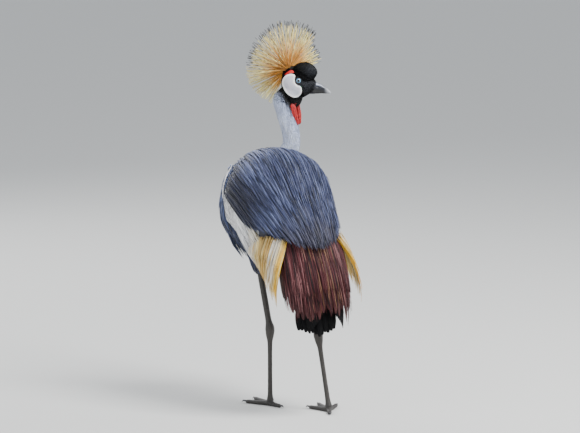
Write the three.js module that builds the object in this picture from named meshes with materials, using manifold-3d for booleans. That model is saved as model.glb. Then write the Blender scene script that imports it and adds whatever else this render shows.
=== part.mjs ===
// A grey crowned crane, life size, standing in mid stride and looking back over its right shoulder.
// Millimetres, +Z up. The bird heads along -Y with its left side at +X, and the floor is at z = 0.
// Each body part is its own closed solid, and neighbours keep a small gap.

import * as THREE from "three";
import { mergeVertices } from "three/addons/utils/BufferGeometryUtils.js";
import Module from "manifold-3d";

const wasm = await Module();
wasm.setup();

const X_AXIS = new THREE.Vector3(1, 0, 0);
const Y_AXIS = new THREE.Vector3(0, 1, 0);
const Z_AXIS = new THREE.Vector3(0, 0, 1);
const vec = (x, y, z) => new THREE.Vector3(x, y, z);
const lerp = THREE.MathUtils.lerp;
const rad = THREE.MathUtils.degToRad;
const clamp = THREE.MathUtils.clamp;

// Driving dimensions
const GAP = 0.3;
const VANE = 0.7; // thickness of a feather's vane
const BODY_X = 6; // the trunk's middle plane, a little to the left of the head and feet
const EYE_HEIGHT = 812;
const EYE_X = -56.5;
const EYE_Y = -105;
const HEAD_TURN = rad(113); // from the body's heading towards the bird's right
const EYE_RADIUS = 8;
const EYE_OUT = 16.4; // from the head's middle plane to an eye's centre
const CREST_LENGTH = 114;
const SHIN_RADIUS = 7.8;
const ANKLE_RADIUS = 12.5;
const TARSUS_RADIUS = 6.2;
const TOE_RADIUS = 6;
const CLAW_LENGTH = 14;

const SIDES = { left: 1, right: -1 };

// A repeatable stream of numbers from 0 to 1.
function randomStream(seed) {
  let state = seed >>> 0;
  return () => {
    state = (Math.imul(state, 1664525) + 1013904223) >>> 0;
    return state / 4294967296;
  };
}

// Solids

// A closed solid from points and faces, turned the right way out.
function solidFrom(points, faces) {
  const flat = new Float32Array(points.flatMap((p) => [p.x, p.y, p.z]));
  const make = (list) => {
    const triVerts = new Uint32Array(list.flat());
    return new wasm.Manifold(new wasm.Mesh({ numProp: 3, vertProperties: flat, triVerts }));
  };
  const made = make(faces);
  return made.volume() > 0 ? made : make(faces.map(([a, b, c]) => [a, c, b]));
}

// A three.js geometry, placed by a matrix, as a closed solid.
function solidOf(geometry, matrix = new THREE.Matrix4()) {
  const loose = geometry.index ? geometry.toNonIndexed() : geometry;
  const bare = new THREE.BufferGeometry();
  bare.setAttribute("position", loose.getAttribute("position").clone().applyMatrix4(matrix));
  const merged = mergeVertices(bare, 1e-4);
  const at = merged.getAttribute("position");
  const points = Array.from({ length: at.count }, (_, i) => vec(0, 0, 0).fromBufferAttribute(at, i));
  const faces = [];
  for (let i = 0; i < merged.index.count; i += 3) {
    const [a, b, c] = merged.index.array.slice(i, i + 3);
    if (a !== b && b !== c && a !== c) faces.push([a, b, c]);
  }
  return solidFrom(points, faces);
}

// Several solids as one.
const join = (solids) => wasm.Manifold.union(solids);

// The solid less each of the cutters.
const less = (solid, ...cutters) => cutters.reduce((left, cutter) => left.subtract(cutter), solid);

// The largest closed surface of a solid, without sealed hollows or loose scraps.
const largest = (solid) =>
  solid.decompose().reduce((best, body) => (body.volume() > best.volume() ? body : best));

// A flat outline pushed out along a third direction. Its corners are in the first two directions.
function prism(corners, [first, second, third], origin, depth) {
  const shape = new THREE.Shape(corners.map(([a, b]) => new THREE.Vector2(a, b)));
  const geometry = new THREE.ExtrudeGeometry(shape, { depth, bevelEnabled: false });
  return solidOf(geometry, new THREE.Matrix4().makeBasis(first, second, third).setPosition(origin));
}

// Everything on one side of a line seen from the side: way = 1 above it, -1 below it.
function besideLine(line, way) {
  const far = way * 900;
  const [start, end] = [line[0], line[line.length - 1]];
  const corners = [...line, [end[0], end[1] + far], [start[0], start[1] + far]];
  return prism(corners, [Y_AXIS, Z_AXIS, X_AXIS], vec(-300, 0, 0), 600);
}

// The faces between rows of points, each row a closed ring of so many sides.
function ringFaces(rows, sides) {
  const faces = [];
  for (let i = 0; i < rows - 1; i++) {
    for (let j = 0; j < sides; j++) {
      const k = (j + 1) % sides;
      const [a, b] = [i * sides + j, i * sides + k];
      faces.push([a, b, b + sides], [a, b + sides, a + sides]);
    }
  }
  return faces;
}

// A round body of stations along a curved axis. A station is [x, y, z, half width, half depth].
class Body {
  constructor(stations, [rings, sides], across = X_AXIS) {
    this.across = across;
    this.rings = rings;
    this.sides = sides;
    this.axis = new THREE.CatmullRomCurve3(stations.map((s) => vec(s[0], s[1], s[2])), false, "centripetal");
    this.sizes = new THREE.CatmullRomCurve3(stations.map((s) => vec(s[3], s[4], 0)), false, "catmullrom", 0.5);
  }

  // A point on the surface, raised by a lift. Angle 0 is along the width and 90 degrees along the depth.
  point(t, degrees, lift = 0) {
    const along = this.axis.getTangent(t);
    const wide = this.across.clone().addScaledVector(along, -this.across.dot(along)).normalize();
    const deep = wide.clone().cross(along).normalize();
    const size = this.sizes.getPoint(t);
    return this.axis
      .getPoint(t)
      .addScaledVector(wide, (Math.max(size.x, 0.5) + lift) * Math.cos(rad(degrees)))
      .addScaledVector(deep, (Math.max(size.y, 0.5) + lift) * Math.sin(rad(degrees)));
  }

  // The surface's outward direction.
  normal(t, degrees) {
    const along = this.point(Math.min(t + 0.01, 1), degrees).sub(this.point(Math.max(t - 0.01, 0), degrees));
    const round = this.point(t, degrees + 2).sub(this.point(t, degrees - 2));
    return round.cross(along).normalize();
  }

  // The whole body as a solid, grown by a margin all over.
  solid(grow = 0, [rings, sides] = [this.rings, this.sides]) {
    const points = [];
    for (let i = 1; i < rings; i++) {
      for (let j = 0; j < sides; j++) points.push(this.point(i / rings, (360 * j) / sides, grow));
    }
    const faces = ringFaces(rings - 1, sides);
    const first = points.push(this.axis.getPoint(0).addScaledVector(this.axis.getTangent(0), -grow)) - 1;
    const last = points.push(this.axis.getPoint(1).addScaledVector(this.axis.getTangent(1), grow)) - 1;
    const base = (rings - 2) * sides;
    for (let j = 0; j < sides; j++) {
      const k = (j + 1) % sides;
      faces.push([first, k, j], [last, base + j, base + k]);
    }
    return solidFrom(points, faces);
  }

  // A thick patch of the surface between two ends, two angles and two lifts.
  patch([t0, t1], [angle0, angle1], [under, over], grow = 0) {
    const [rows, columns] = [3, 5];
    const points = [];
    const rim = grow / 150;
    const turn = grow / 2;
    for (let i = 0; i <= rows; i++) {
      const t = clamp(lerp(t0 - rim, t1 + rim, i / rows), 0, 1);
      const angle = (j) => lerp(angle0 - turn, angle1 + turn, j / columns);
      for (let j = 0; j <= columns; j++) points.push(this.point(t, angle(j), over + grow));
      for (let j = columns; j >= 0; j--) points.push(this.point(t, angle(j), under - grow));
    }
    const sides = 2 * (columns + 1);
    const faces = ringFaces(rows + 1, sides);
    const base = rows * sides;
    for (let j = 0; j < columns; j++) {
      const [a, b, c, d] = [j, j + 1, sides - 2 - j, sides - 1 - j];
      faces.push([a, c, b], [a, d, c], [base + a, base + b, base + c], [base + a, base + c, base + d]);
    }
    return solidFrom(points, faces);
  }
}

// Outlines of a feather: the share of its half width at each share of its length, before its pointed tip.
const OUTLINES = {
  plume: [[0, 0.5], [0.35, 1], [0.72, 0.8]],
  round: [[0, 0.6], [0.5, 1], [0.85, 0.75]],
  flight: [[0, 0.45], [0.35, 1], [0.8, 0.85]],
  strand: [[0, 0.9], [0.35, 1], [0.72, 0.85]],
};

// A flat vane whose course gives a centre and an outward direction at each share of its length.
function vane(course, halfWidth, outline) {
  const points = [];
  const rows = OUTLINES[outline];
  for (const [share, fullness] of rows) {
    const { centre, out } = course(share);
    const ahead = course(Math.min(share + 0.1, 1)).centre.sub(course(Math.max(share - 0.1, 0)).centre);
    const side = ahead.cross(out).normalize().multiplyScalar(halfWidth * fullness);
    const rise = out.clone().setLength(VANE / 2);
    points.push(centre.clone().sub(side).add(rise), centre.clone().add(side).add(rise));
    points.push(centre.clone().add(side).sub(rise), centre.clone().sub(side).sub(rise));
  }
  const faces = [[0, 3, 2], [0, 2, 1]];
  for (let i = 0; i < rows.length - 1; i++) {
    const a = 4 * i;
    const b = a + 4;
    faces.push([a, a + 1, b + 1], [a, b + 1, b], [a + 3, b + 2, a + 2], [a + 3, b + 3, b + 2]);
    faces.push([a, b, b + 3], [a, b + 3, a + 3], [a + 1, b + 2, b + 1], [a + 1, a + 2, b + 2]);
  }
  const tip = points.push(course(1).centre) - 1;
  const a = 4 * (rows.length - 1);
  faces.push([a, a + 1, tip], [a + 1, a + 2, tip], [a + 2, a + 3, tip], [a + 3, a, tip]);
  return solidFrom(points, faces);
}

// A feather that lies on a body from one place, [t, degrees], to another, rising from one lift to another.
// Its roll tips one edge down, so that each feather of a row lies over the next like a roof tile.
function layFeather(body, [t0, angle0], [t1, angle1], [sunk, raised], halfWidth, outline, roll = 0) {
  const course = (share) => {
    const t = clamp(lerp(t0, t1, share), 0, 1);
    const angle = lerp(angle0, angle1, share);
    const rise = lerp(sunk, raised, Math.min(1, share * 3));
    const around = body.point(t, angle + 1).sub(body.point(t, angle - 1)).setLength(Math.tan(rad(roll)));
    return { centre: body.point(t, angle, rise), out: body.normal(Math.min(t, 0.99), angle).add(around).normalize() };
  };
  return vane(course, halfWidth, outline);
}

// A feather that hangs along a curve through places, facing one way all along. Its roll tips it like a roof tile.
function hangFeather(places, out, halfWidth, outline, roll = 0) {
  const curve = new THREE.CatmullRomCurve3(places);
  const length = places[places.length - 1].clone().sub(places[0]).normalize();
  const facing = out.clone().applyAxisAngle(length, rad(roll));
  return vane((share) => ({ centre: curve.getPoint(share), out: facing }), halfWidth, outline);
}

// A tapered bristle or claw of a few sides along a curve through places.
function spike(places, radii, sides) {
  const curve = new THREE.CatmullRomCurve3(places);
  const points = [];
  radii.forEach((radius, i) => {
    const share = i / radii.length;
    const along = curve.getTangent(share);
    const wide = (Math.abs(along.z) > 0.9 ? X_AXIS : Z_AXIS).clone().cross(along).setLength(radius);
    const deep = along.clone().cross(wide);
    for (let j = 0; j < sides; j++) {
      const angle = (2 * Math.PI * j) / sides;
      const rim = curve.getPoint(share).addScaledVector(wide, Math.cos(angle));
      points.push(rim.addScaledVector(deep, Math.sin(angle)));
    }
  });
  const faces = ringFaces(radii.length, sides);
  const tip = points.push(curve.getPoint(1)) - 1;
  const base = (radii.length - 1) * sides;
  for (let j = 0; j < sides; j++) {
    const k = (j + 1) % sides;
    faces.push([base + j, base + k, tip]);
    if (j > 0 && k > 0) faces.push([0, k, j]);
  }
  return solidFrom(points, faces);
}

// Trunk, wings and neck

// Torso: an egg that slopes from the breast down to the root of the tail.
const torso = new Body(
  [
    [BODY_X, -180, 562, 0, 0],
    [BODY_X, -170, 559, 42, 46],
    [BODY_X, -146, 551, 66, 74],
    [BODY_X, -108, 533, 84, 94],
    [BODY_X, -60, 504, 92, 100],
    [BODY_X, -8, 466, 88, 96],
    [BODY_X, 42, 428, 74, 78],
    [BODY_X, 86, 394, 54, 52],
    [BODY_X, 114, 372, 36, 28],
    [BODY_X, 128, 361, 0, 0],
  ],
  [11, 16],
);

// Folded wing: a long lens along the torso's side, from the wrist to the rump. Both sit a little to the left.
const WING_X = BODY_X + 2.5;
const wingStations = (side) =>
  [
    [92, -158, 552, 0, 0],
    [95, -150, 546, 12, 24],
    [98, -128, 526, 18, 44],
    [97, -76, 488, 25, 58],
    [91, -16, 448, 24, 60],
    [84, 38, 412, 22, 53],
    [77, 84, 390, 18, 38],
    [71, 112, 374, 12, 22],
    [68, 124, 366, 0, 0],
  ].map(([x, ...rest]) => [WING_X + side * x, ...rest]);
const wings = {
  left: new Body(wingStations(1), [10, 14]),
  right: new Body(wingStations(-1), [10, 14]),
};

// The dome of the back and shoulders, over the torso and the tops of both wings.
const dome = new Body(
  [
    [BODY_X, -190, 558, 0, 0],
    [BODY_X, -176, 559, 76, 52],
    [BODY_X + 2, -142, 556, 118, 88],
    [BODY_X + 3, -98, 540, 135, 105],
    [BODY_X + 4, -48, 509, 130, 101],
    [BODY_X + 4, 6, 469, 119, 91],
    [BODY_X + 3, 60, 430, 108, 82],
    [BODY_X + 1, 106, 390, 94, 75],
    [BODY_X, 142, 352, 80, 66],
    [BODY_X, 165, 322, 0, 0],
  ],
  [12, 20],
);

// The lower edge of the back's grey plumes, seen from the side, as [y, z] from front to rear.
const MANTLE_EDGE = [
  [-260, 616], [-140, 603], [-124, 596], [-119, 542], [-109, 493], [-84, 472], [-60, 461],
  [-10, 452], [80, 450], [125, 438], [170, 421], [260, 405],
];
// The breast plumes' root, seen from the side: below this line and in front of the mantle's edge.
const BIB_TOP = [[-260, 615.6], [-140, 602.6], [-130, 597]];
const BIB_EDGE = [...BIB_TOP, [-132, 545], [-140, 508], [-260, 498]];

// The drape of the long inner flight feathers, hanging behind the torso and swung a little to the right.
const drape = new Body(
  [
    [4, 40, 480, 88, 48],
    [2, 56, 432, 90, 71],
    [0, 74, 384, 90, 88],
    [-5, 92, 324, 88, 96],
    [-14, 104, 264, 83, 94],
    [-20, 114, 200, 72, 90],
  ],
  [8, 16],
);

// Neck: from the front of the torso up into the nape, bowed to the bird's right.
const neck = new Body(
  [
    [-2, -118, 530, 40, 42],
    [-8, -121, 560, 40, 42],
    [-24, -119, 602, 30, 32],
    [-41, -111, 646, 21.5, 22],
    [-41, -111, 675, 21, 21.5],
    [-36, -113, 702, 22.5, 21],
    [-27, -117, 736, 22.5, 21],
    [-21, -120, 762, 22.5, 20],
    [-23, -119, 778, 17, 16],
    [-25, -118, 788, 0, 0],
  ],
  [12, 12],
);

// Head

// The head's own directions: forward, up and outward on the bird's right.
const headForward = vec(-Math.sin(HEAD_TURN), -Math.cos(HEAD_TURN), 0);
const headRight = headForward.clone().cross(Z_AXIS).normalize();
const headPoint = (forward, up, right = 0) =>
  vec(EYE_X, EYE_Y, EYE_HEIGHT)
    .addScaledVector(headForward, forward)
    .addScaledVector(Z_AXIS, up)
    .addScaledVector(headRight, right);
const headStations = (rows) =>
  rows.map(([forward, up, wide, deep]) => [...headPoint(forward, up).toArray(), wide, deep]);
const outwards = (side) => headRight.clone().multiplyScalar(-side);

const skull = new Body(
  headStations([
    [-42, -6, 0, 0],
    [-38, -6, 12, 17],
    [-24, -5, 20, 30],
    [-4, -10, 23.5, 36],
    [16, -13, 21, 31],
    [33, -15, 14.5, 20],
    [44, -17, 9.5, 13],
    [49, -18, 0, 0],
  ]),
  [10, 14],
  headRight,
);
const cushion = new Body(
  headStations([
    [-13, 18, 0, 0],
    [-8, 19, 11, 12],
    [4, 22, 18, 22],
    [19, 20, 20, 26],
    [34, 15, 17, 22],
    [43, 10, 10, 13],
    [46, 8, 0, 0],
  ]),
  [8, 12],
  headRight,
);
const throat = new Body(
  headStations([
    [-18, -12, 0, 0],
    [-18, -22, 18, 26],
    [-17, -37, 19, 32],
    [-13, -51, 16, 25],
    [-13, -64, 12, 15],
    [-14, -72, 0, 0],
  ]),
  [6, 10],
  headRight,
);
const headForm = (grow) => join([skull.solid(grow), cushion.solid(grow), throat.solid(grow)]);

const eyeCentre = (side) => headPoint(2, 0, -side * EYE_OUT);

function eyeSolid(side, grow) {
  const place = new THREE.Matrix4().setPosition(eyeCentre(side));
  return solidOf(new THREE.SphereGeometry(EYE_RADIUS + grow, 10, 8), place);
}

// The lids: a low ring round each eye.
function lidRing(side, tube) {
  const turn = new THREE.Quaternion().setFromUnitVectors(Z_AXIS, outwards(side));
  const at = eyeCentre(side).addScaledVector(outwards(side), 4.6);
  const place = new THREE.Matrix4().compose(at, turn, vec(1, 0.94, 1));
  return solidOf(new THREE.TorusGeometry(6.6, tube, 3, 10), place);
}

// The white bare cheek, a thin plate of kidney outline, and the red cap above it.
const CHEEK = [
  [-40, -6], [-35, 8], [-26, 15], [-14, 17], [-7, 14], [-7.5, 3], [-6, -6], [0, -11.5],
  [7, -14], [10.5, -22], [9, -33], [2, -41], [-9, -43], [-22, -37], [-33, -25],
];
const CHEEK_CAP = [[-33, 13.5], [-26, 21], [-15, 26], [-9, 20], [-14, 18.6], [-25, 17]];

function plateOnHead(outline, side) {
  const column = prism(outline, [headForward, Z_AXIS, outwards(side)], headPoint(0, 0, -side * 6), 40);
  return largest(less(column.intersect(headForm(1.7)), headForm(GAP)));
}

// Bill: one tapered form, parted along the line of the mouth.
const bill = new Body(
  headStations([
    [26, -14, 11, 13],
    [38, -15, 10, 12],
    [48, -18, 8, 10],
    [60, -22, 6, 8],
    [72, -27, 4.2, 5.4],
    [80, -31, 2.2, 2.6],
    [83.5, -33, 0, 0],
  ]),
  [9, 10],
  headRight,
);
const MOUTH = [[14, -20.5], [40, -22.5], [60, -26], [76, -31.6], [88, -36]];

// All of the head's space on one side of the mouth line: way = 1 above it, -1 below it.
function besideMouth(way) {
  const line = MOUTH.map(([forward, up]) => [forward, up + (way * GAP) / 2]);
  const corners = [...line, [88, way * 60], [14, way * 60]];
  return prism(corners, [headForward, Z_AXIS, outwards(1)], headPoint(0, 0, 30), 60);
}

// The slot of the nostrils, right through the upper bill.
function nostrilSlot() {
  const oval = new THREE.CylinderGeometry(1, 1, 40, 8).scale(5, 1, 1.9).rotateY(rad(14));
  const place = new THREE.Matrix4().makeBasis(headForward, headRight, Z_AXIS);
  return solidOf(oval, place.setPosition(headPoint(51, -16.4)));
}

// Wattle: two red lobes under the throat, joined at the top.
function wattleSolid() {
  const row = (forward, up, right, wide, deep) => [...headPoint(forward, up, right).toArray(), wide, deep];
  const lobe = (side) => [
    row(-7, -54, side * 8, 0, 0),
    row(-8, -60, side * 10, 5, 9),
    row(-8, -71, side * 12, 5, 11),
    row(-5, -86, side * 12, 4.6, 8.5),
    row(-1, -100, side * 10, 3.8, 6),
    row(1.5, -110, side * 9, 2.4, 3.2),
    row(2, -115, side * 8.5, 0, 0),
  ];
  const bridge = [
    row(-3, -56, -15, 0, 0),
    row(-3, -62, -10, 6, 7),
    row(-2, -64, 0, 7, 8),
    row(-3, -62, 10, 6, 7),
    row(-3, -56, 15, 0, 0),
  ];
  return join([
    new Body(lobe(1), [8, 6], headRight).solid(),
    new Body(lobe(-1), [8, 6], headRight).solid(),
    new Body(bridge, [5, 6], Z_AXIS).solid(),
  ]);
}

// Crest: a pad on the back of the crown with bristles fanned all round it.
const CREST_ROOT = { forward: -22, up: 25 };
const CREST_PAD = { forward: 16, up: 14, right: 13 };
const CREST_BRISTLES = 140;

// A bristle's length by its lean from upright, in degrees, forward being positive.
const bristleLength = (lean) =>
  CREST_LENGTH * (0.87 + 0.16 * Math.max(0, Math.cos(rad(lean))) ** 2 - 0.0022 * Math.max(0, -95 - lean));

function crestSolid() {
  const random = randomStream(7);
  const centre = headPoint(CREST_ROOT.forward, CREST_ROOT.up);
  const basis = new THREE.Matrix4().makeBasis(headForward, headRight.clone().negate(), Z_AXIS);
  const pad = new THREE.SphereGeometry(1, 8, 6).rotateX(Math.PI / 2);
  pad.scale(CREST_PAD.forward, CREST_PAD.right, CREST_PAD.up);
  const bristles = [solidOf(pad, basis.setPosition(centre))];
  for (let i = 0; i < CREST_BRISTLES; i++) {
    const sideways = lerp(-0.9, 0.9, (i + 0.5) / CREST_BRISTLES);
    const level = Math.sqrt(1 - sideways * sideways);
    const lean = lerp(-150, 70, (i * 0.618034) % 1) + 6 * (random() - 0.5);
    const forward = level * Math.sin(rad(lean));
    const up = level * Math.cos(rad(lean));
    const reach = (scale, drop) =>
      centre
        .clone()
        .addScaledVector(headForward, forward * (0.6 * CREST_PAD.forward + scale))
        .addScaledVector(Z_AXIS, up * (0.6 * CREST_PAD.up + scale) - drop)
        .addScaledVector(headRight, sideways * (0.6 * CREST_PAD.right + scale));
    const length = bristleLength(lean) * (0.96 + 0.08 * random());
    bristles.push(spike([reach(0, 0), reach(length, 3 * Math.abs(forward))], [1.3], 3));
  }
  return join(bristles);
}

// Legs

// Where each leg's joints stand, and how far its foot turns out.
const LEGS = {
  left: {
    hip: vec(56, -84, 492),
    knee: vec(59, -116, 430),
    shin: vec(51, -94, 338),
    ankle: vec(44, -46, 198),
    foot: vec(40, -54, 12),
    turn: 6,
  },
  right: {
    hip: vec(-48, -30, 490),
    knee: vec(-53, -62, 424),
    shin: vec(-54, -34, 338),
    ankle: vec(-54, 30, 190),
    foot: vec(-62, 80, 12),
    turn: -8,
  },
};
const TOES = {
  inner: { turn: 33, length: 66 },
  middle: { turn: 2, length: 88 },
  outer: { turn: -31, length: 72 },
  hind: { turn: 168, length: 40 },
};

function thighBody({ hip, knee, shin, ankle }) {
  const end = shin.clone().addScaledVector(ankle.clone().sub(shin).normalize(), 14);
  const row = (place, wide, deep) => [...place.toArray(), wide, deep];
  return new Body(
    [
      row(hip, 0, 0),
      row(hip.clone().lerp(knee, 0.3), 26, 32),
      row(knee, 28, 38),
      row(knee.clone().lerp(shin, 0.5), 22, 28),
      row(shin, 13, 14),
      row(end, 0, 0),
    ],
    [8, 11],
  );
}

function legBody({ shin, ankle, foot }) {
  const at = (from, to, share) => from.clone().lerp(to, share).toArray();
  return new Body(
    [
      [...at(shin, ankle, -0.12), 0, 0],
      [...at(shin, ankle, -0.08), SHIN_RADIUS * 0.9, SHIN_RADIUS * 0.9],
      [...at(shin, ankle, 0.5), SHIN_RADIUS, SHIN_RADIUS],
      [...at(shin, ankle, 0.86), SHIN_RADIUS, SHIN_RADIUS * 1.1],
      [...ankle.toArray(), ANKLE_RADIUS * 0.92, ANKLE_RADIUS],
      [...at(ankle, foot, 0.09), ANKLE_RADIUS * 0.8, ANKLE_RADIUS * 0.9],
      [...at(ankle, foot, 0.2), TARSUS_RADIUS, TARSUS_RADIUS * 1.15],
      [...at(ankle, foot, 0.55), TARSUS_RADIUS * 0.9, TARSUS_RADIUS],
      [...at(ankle, foot, 0.9), TARSUS_RADIUS, TARSUS_RADIUS * 1.1],
      [...at(ankle, foot, 1.0), TARSUS_RADIUS * 1.3, TARSUS_RADIUS * 1.3],
      [...at(ankle, foot, 1.04), 0, 0],
    ],
    [17, 8],
  );
}

// A toe's course over the floor: a point a share of the way along it and so far above its axis.
function toeCourse(name, toe) {
  const { foot, turn } = LEGS[name];
  const angle = rad(turn - SIDES[name] * TOES[toe].turn);
  const way = vec(Math.sin(angle), -Math.cos(angle), 0);
  const along = (share, up) =>
    vec(foot.x, foot.y, TOE_RADIUS - 1.2 + up).addScaledVector(way, TOES[toe].length * share);
  return { way, along };
}

function toeBody(name, toe) {
  const { way, along } = toeCourse(name, toe);
  const row = (share, up, wide, deep) =>
    [...along(share, up).toArray(), TOE_RADIUS * wide, TOE_RADIUS * deep];
  return new Body(
    [
      row(-0.06, 1, 0, 0),
      row(0.02, 1, 1.1, 1.05),
      row(0.3, 0.2, 0.9, 0.95),
      row(0.5, -0.4, 1, 0.9),
      row(0.72, -0.6, 0.82, 0.85),
      row(0.94, -0.8, 0.8, 0.75),
      row(1, -0.8, 0, 0),
    ],
    [6, 6],
    Z_AXIS.clone().cross(way),
  );
}

const underFloor = solidOf(new THREE.BoxGeometry(900, 900, 60), new THREE.Matrix4().makeTranslation(0, 0, -30));

function footSolid(name, grow) {
  const { foot } = LEGS[name];
  const hub = new THREE.SphereGeometry(TOE_RADIUS * 1.75 + grow, 8, 6);
  const place = new THREE.Matrix4().makeTranslation(foot.x, foot.y, 8);
  const toes = Object.keys(TOES).map((toe) => toeBody(name, toe).solid(grow));
  return less(join([solidOf(hub, place), ...toes]), underFloor);
}

function clawSolid(name, toe) {
  const { along } = toeCourse(name, toe);
  const reach = CLAW_LENGTH / TOES[toe].length;
  const places = [along(0.92, 0.2), along(0.97 + reach * 0.6, 0.9), along(0.97 + reach, 2.4 - TOE_RADIUS)];
  return less(spike(places, [3, 2.1], 4), underFloor);
}

// Feathers

// Angles and drifts on the left side, turned to the side asked for.
const sideAngle = (side, degrees) => (side > 0 ? degrees : 180 - degrees);

// Rows of feathers over part of a body. Each row runs from one angle to another at its own place along it.
function featherRows(body, rows, seed) {
  const random = randomStream(seed);
  const made = [];
  for (const { from, to, count, angles, drift, lifts, half, outline, roll } of rows) {
    for (let i = 0; i < count; i++) {
      const share = i / (count - 1);
      const angle = lerp(...angles, share);
      const start = from + 0.015 * (random() - 0.5);
      const end = start + (to - from) * (0.94 + 0.12 * random());
      const places = [[start, angle], [end, angle + lerp(...drift, share)]];
      made.push(layFeather(body, ...places, lifts, half, outline, roll));
    }
  }
  return made;
}

// The long grey plumes of the back, which run down and close in towards the rump.
const MANTLE_ROWS = [
  { from: 0.1, to: 0.24, count: 4, angles: [51, 129], drift: [-4, 4] },
  { from: 0.19, to: 0.37, count: 5, angles: [38, 142], drift: [-3, 3] },
  { from: 0.29, to: 0.48, count: 6, angles: [25, 155], drift: [1, -1] },
  { from: 0.39, to: 0.58, count: 7, angles: [12, 168], drift: [6, -6] },
  { from: 0.48, to: 0.69, count: 6, angles: [25, 155], drift: [9, -9] },
  { from: 0.58, to: 0.79, count: 5, angles: [38, 142], drift: [9, -9] },
  { from: 0.69, to: 0.87, count: 4, angles: [51, 129], drift: [6, -6] },
].map((row) => ({ ...row, lifts: [-4, 3], half: 13, outline: "plume", roll: 0 }));

// The white coverts, in tiers over the lower half of a folded wing.
const whiteRows = (side) =>
  [
    { from: 0.22, to: 0.4, count: 4, angles: [-62, 4] },
    { from: 0.35, to: 0.54, count: 4, angles: [-73, -7] },
  ].map(({ angles, ...row }) => ({
    ...row,
    angles: angles.map((angle) => sideAngle(side, angle)),
    drift: [-4 * side, -8 * side],
    lifts: [-4, 4],
    half: 9.5,
    outline: "round",
    roll: 4 * side,
  }));

// Where the inner and outer flight feathers are rooted: along, round and through the drape.
const INNER_ROOT = { t: [0.08, 0.22], angles: [34, 89.8], lifts: [-30, 8] };
const INNER_ROOM = { t: [0.08, 0.42], angles: [-20, 90], lifts: [-60, 11.4] };
const OUTER_ROOT = { t: [0.36, 0.46], angles: [40, 78], lifts: [-46, -9] };
const root = (body, side, { t, angles, lifts }, grow = 0) =>
  body.patch(t, angles.map((angle) => sideAngle(side, angle)), lifts, grow);

// The golden plumes: a curtain that hangs from a band over the rear of the wing and narrows to its tips.
// Each list runs from the front of the curtain round to its rear.
const GOLD = {
  left: {
    band: [[123, 6, 412], [119, 36, 430], [112, 64, 437], [101, 92, 438], [88, 113, 436], [74, 128, 431]],
    middle: [[121, 12, 396], [117, 40, 390], [114, 73, 378], [108, 109, 364], [98, 133, 356]],
    tips: [[114, 14, 378], [107, 40, 352], [104, 70, 322], [100, 96, 298], [93, 115, 280]],
  },
  right: {
    band: [[-109, 6, 412], [-106, 36, 430], [-102, 64, 437], [-97, 93, 438], [-88, 115, 436], [-74, 131, 431]],
    middle: [[-112, 14, 394], [-113, 44, 388], [-116, 80, 378], [-119, 116, 364], [-113, 142, 356]],
    tips: [[-110, 20, 372], [-116, 52, 350], [-123, 87, 324], [-126, 121, 302], [-122, 146, 284]],
  },
};
const GOLD_PLUMES = 8;

function goldBand(name) {
  const places = GOLD[name].band;
  const end = (place, shift) => [place[0], place[1] + shift, place[2], 0, 0];
  const rows = places.map((place) => [...place, 1.8, 10.5]);
  return new Body([end(places[0], -4), ...rows, end(places[places.length - 1], 3)], [9, 6]).solid();
}

function goldenPlumes(name) {
  const side = SIDES[name];
  const random = randomStream(31);
  const guide = (list) => new THREE.CatmullRomCurve3(list.map((place) => vec(...place)));
  const [band, middle, tips] = ["band", "middle", "tips"].map((key) => guide(GOLD[name][key]));
  const made = [];
  for (let i = 0; i < GOLD_PLUMES; i++) {
    const share = i / (GOLD_PLUMES - 1);
    const out = middle.getTangent(share).cross(Z_AXIS).multiplyScalar(side);
    const tip = tips.getPoint(share).add(vec(0, 0, 8 * random() - 4));
    const places = [band.getPoint(share), middle.getPoint(share), tip];
    made.push(hangFeather(places, out, 12.5, "strand", side * 9));
  }
  return made;
}

// The chestnut inner flight feathers, which fan down over the drape in two tiers.
const INNER_TIERS = [
  { count: 7, roots: [42, 82], tips: [9, 82], lifts: [-0.5, -0.5], half: 14, ends: { left: [0.72, 0.88], right: [0.84, 0.92] } },
  { count: 5, roots: [42, 81], tips: [24, 82], lifts: [4.6, 5.6], half: 13.5, ends: { left: [0.5, 0.62], right: [0.56, 0.66] } },
];
function innerFlight(name) {
  const side = SIDES[name];
  const made = [];
  for (const { count, roots, tips, lifts, half, ends } of INNER_TIERS) {
    for (let i = 0; i < count; i++) {
      const share = i / (count - 1);
      const start = [0.15, sideAngle(side, lerp(...roots, share))];
      const end = [lerp(...ends[name], share), sideAngle(side, lerp(...tips, share))];
      made.push(layFeather(drape, start, end, lifts, half, "flight", 8.4));
    }
  }
  return made;
}

// The black outer flight feathers, folded inside the drape.
function outerFlight(side) {
  const made = [];
  const count = 4;
  for (let i = 0; i < count; i++) {
    const share = i / (count - 1);
    const start = [0.4, sideAngle(side, lerp(46, 72, share))];
    const end = [lerp(0.86, 0.97, share), sideAngle(side, lerp(40, 72, share))];
    made.push(layFeather(drape, start, end, [-14, -12], 13, "flight", 9 * side));
  }
  return made;
}

// Tail: a stump behind the torso with black feathers in a shallow fan.
const stump = new Body(
  [
    [BODY_X, 92, 392, 0, 0],
    [BODY_X, 98, 386, 26, 16],
    [BODY_X, 118, 362, 26, 14],
    [BODY_X, 132, 340, 20, 8],
    [BODY_X, 137, 333, 0, 0],
  ],
  [7, 10],
);
const TAIL_FEATHERS = 7;

function tailSolid() {
  const made = [stump.solid()];
  for (let i = 0; i < TAIL_FEATHERS; i++) {
    const share = (i / (TAIL_FEATHERS - 1)) * 2 - 1;
    const rise = -5 * share * share;
    const start = vec(BODY_X + share * 14, 120 + rise * 0.4, 358);
    const middle = vec(BODY_X + share * 32, 146 + rise, 300);
    const end = vec(BODY_X - 4 + share * 48, 160 + rise, 208 + 14 * share * share);
    made.push(hangFeather([start, middle, end], vec(0.05 * share, 0.92, 0.36).normalize(), 12, "flight", 7));
  }
  return join(made);
}

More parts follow.
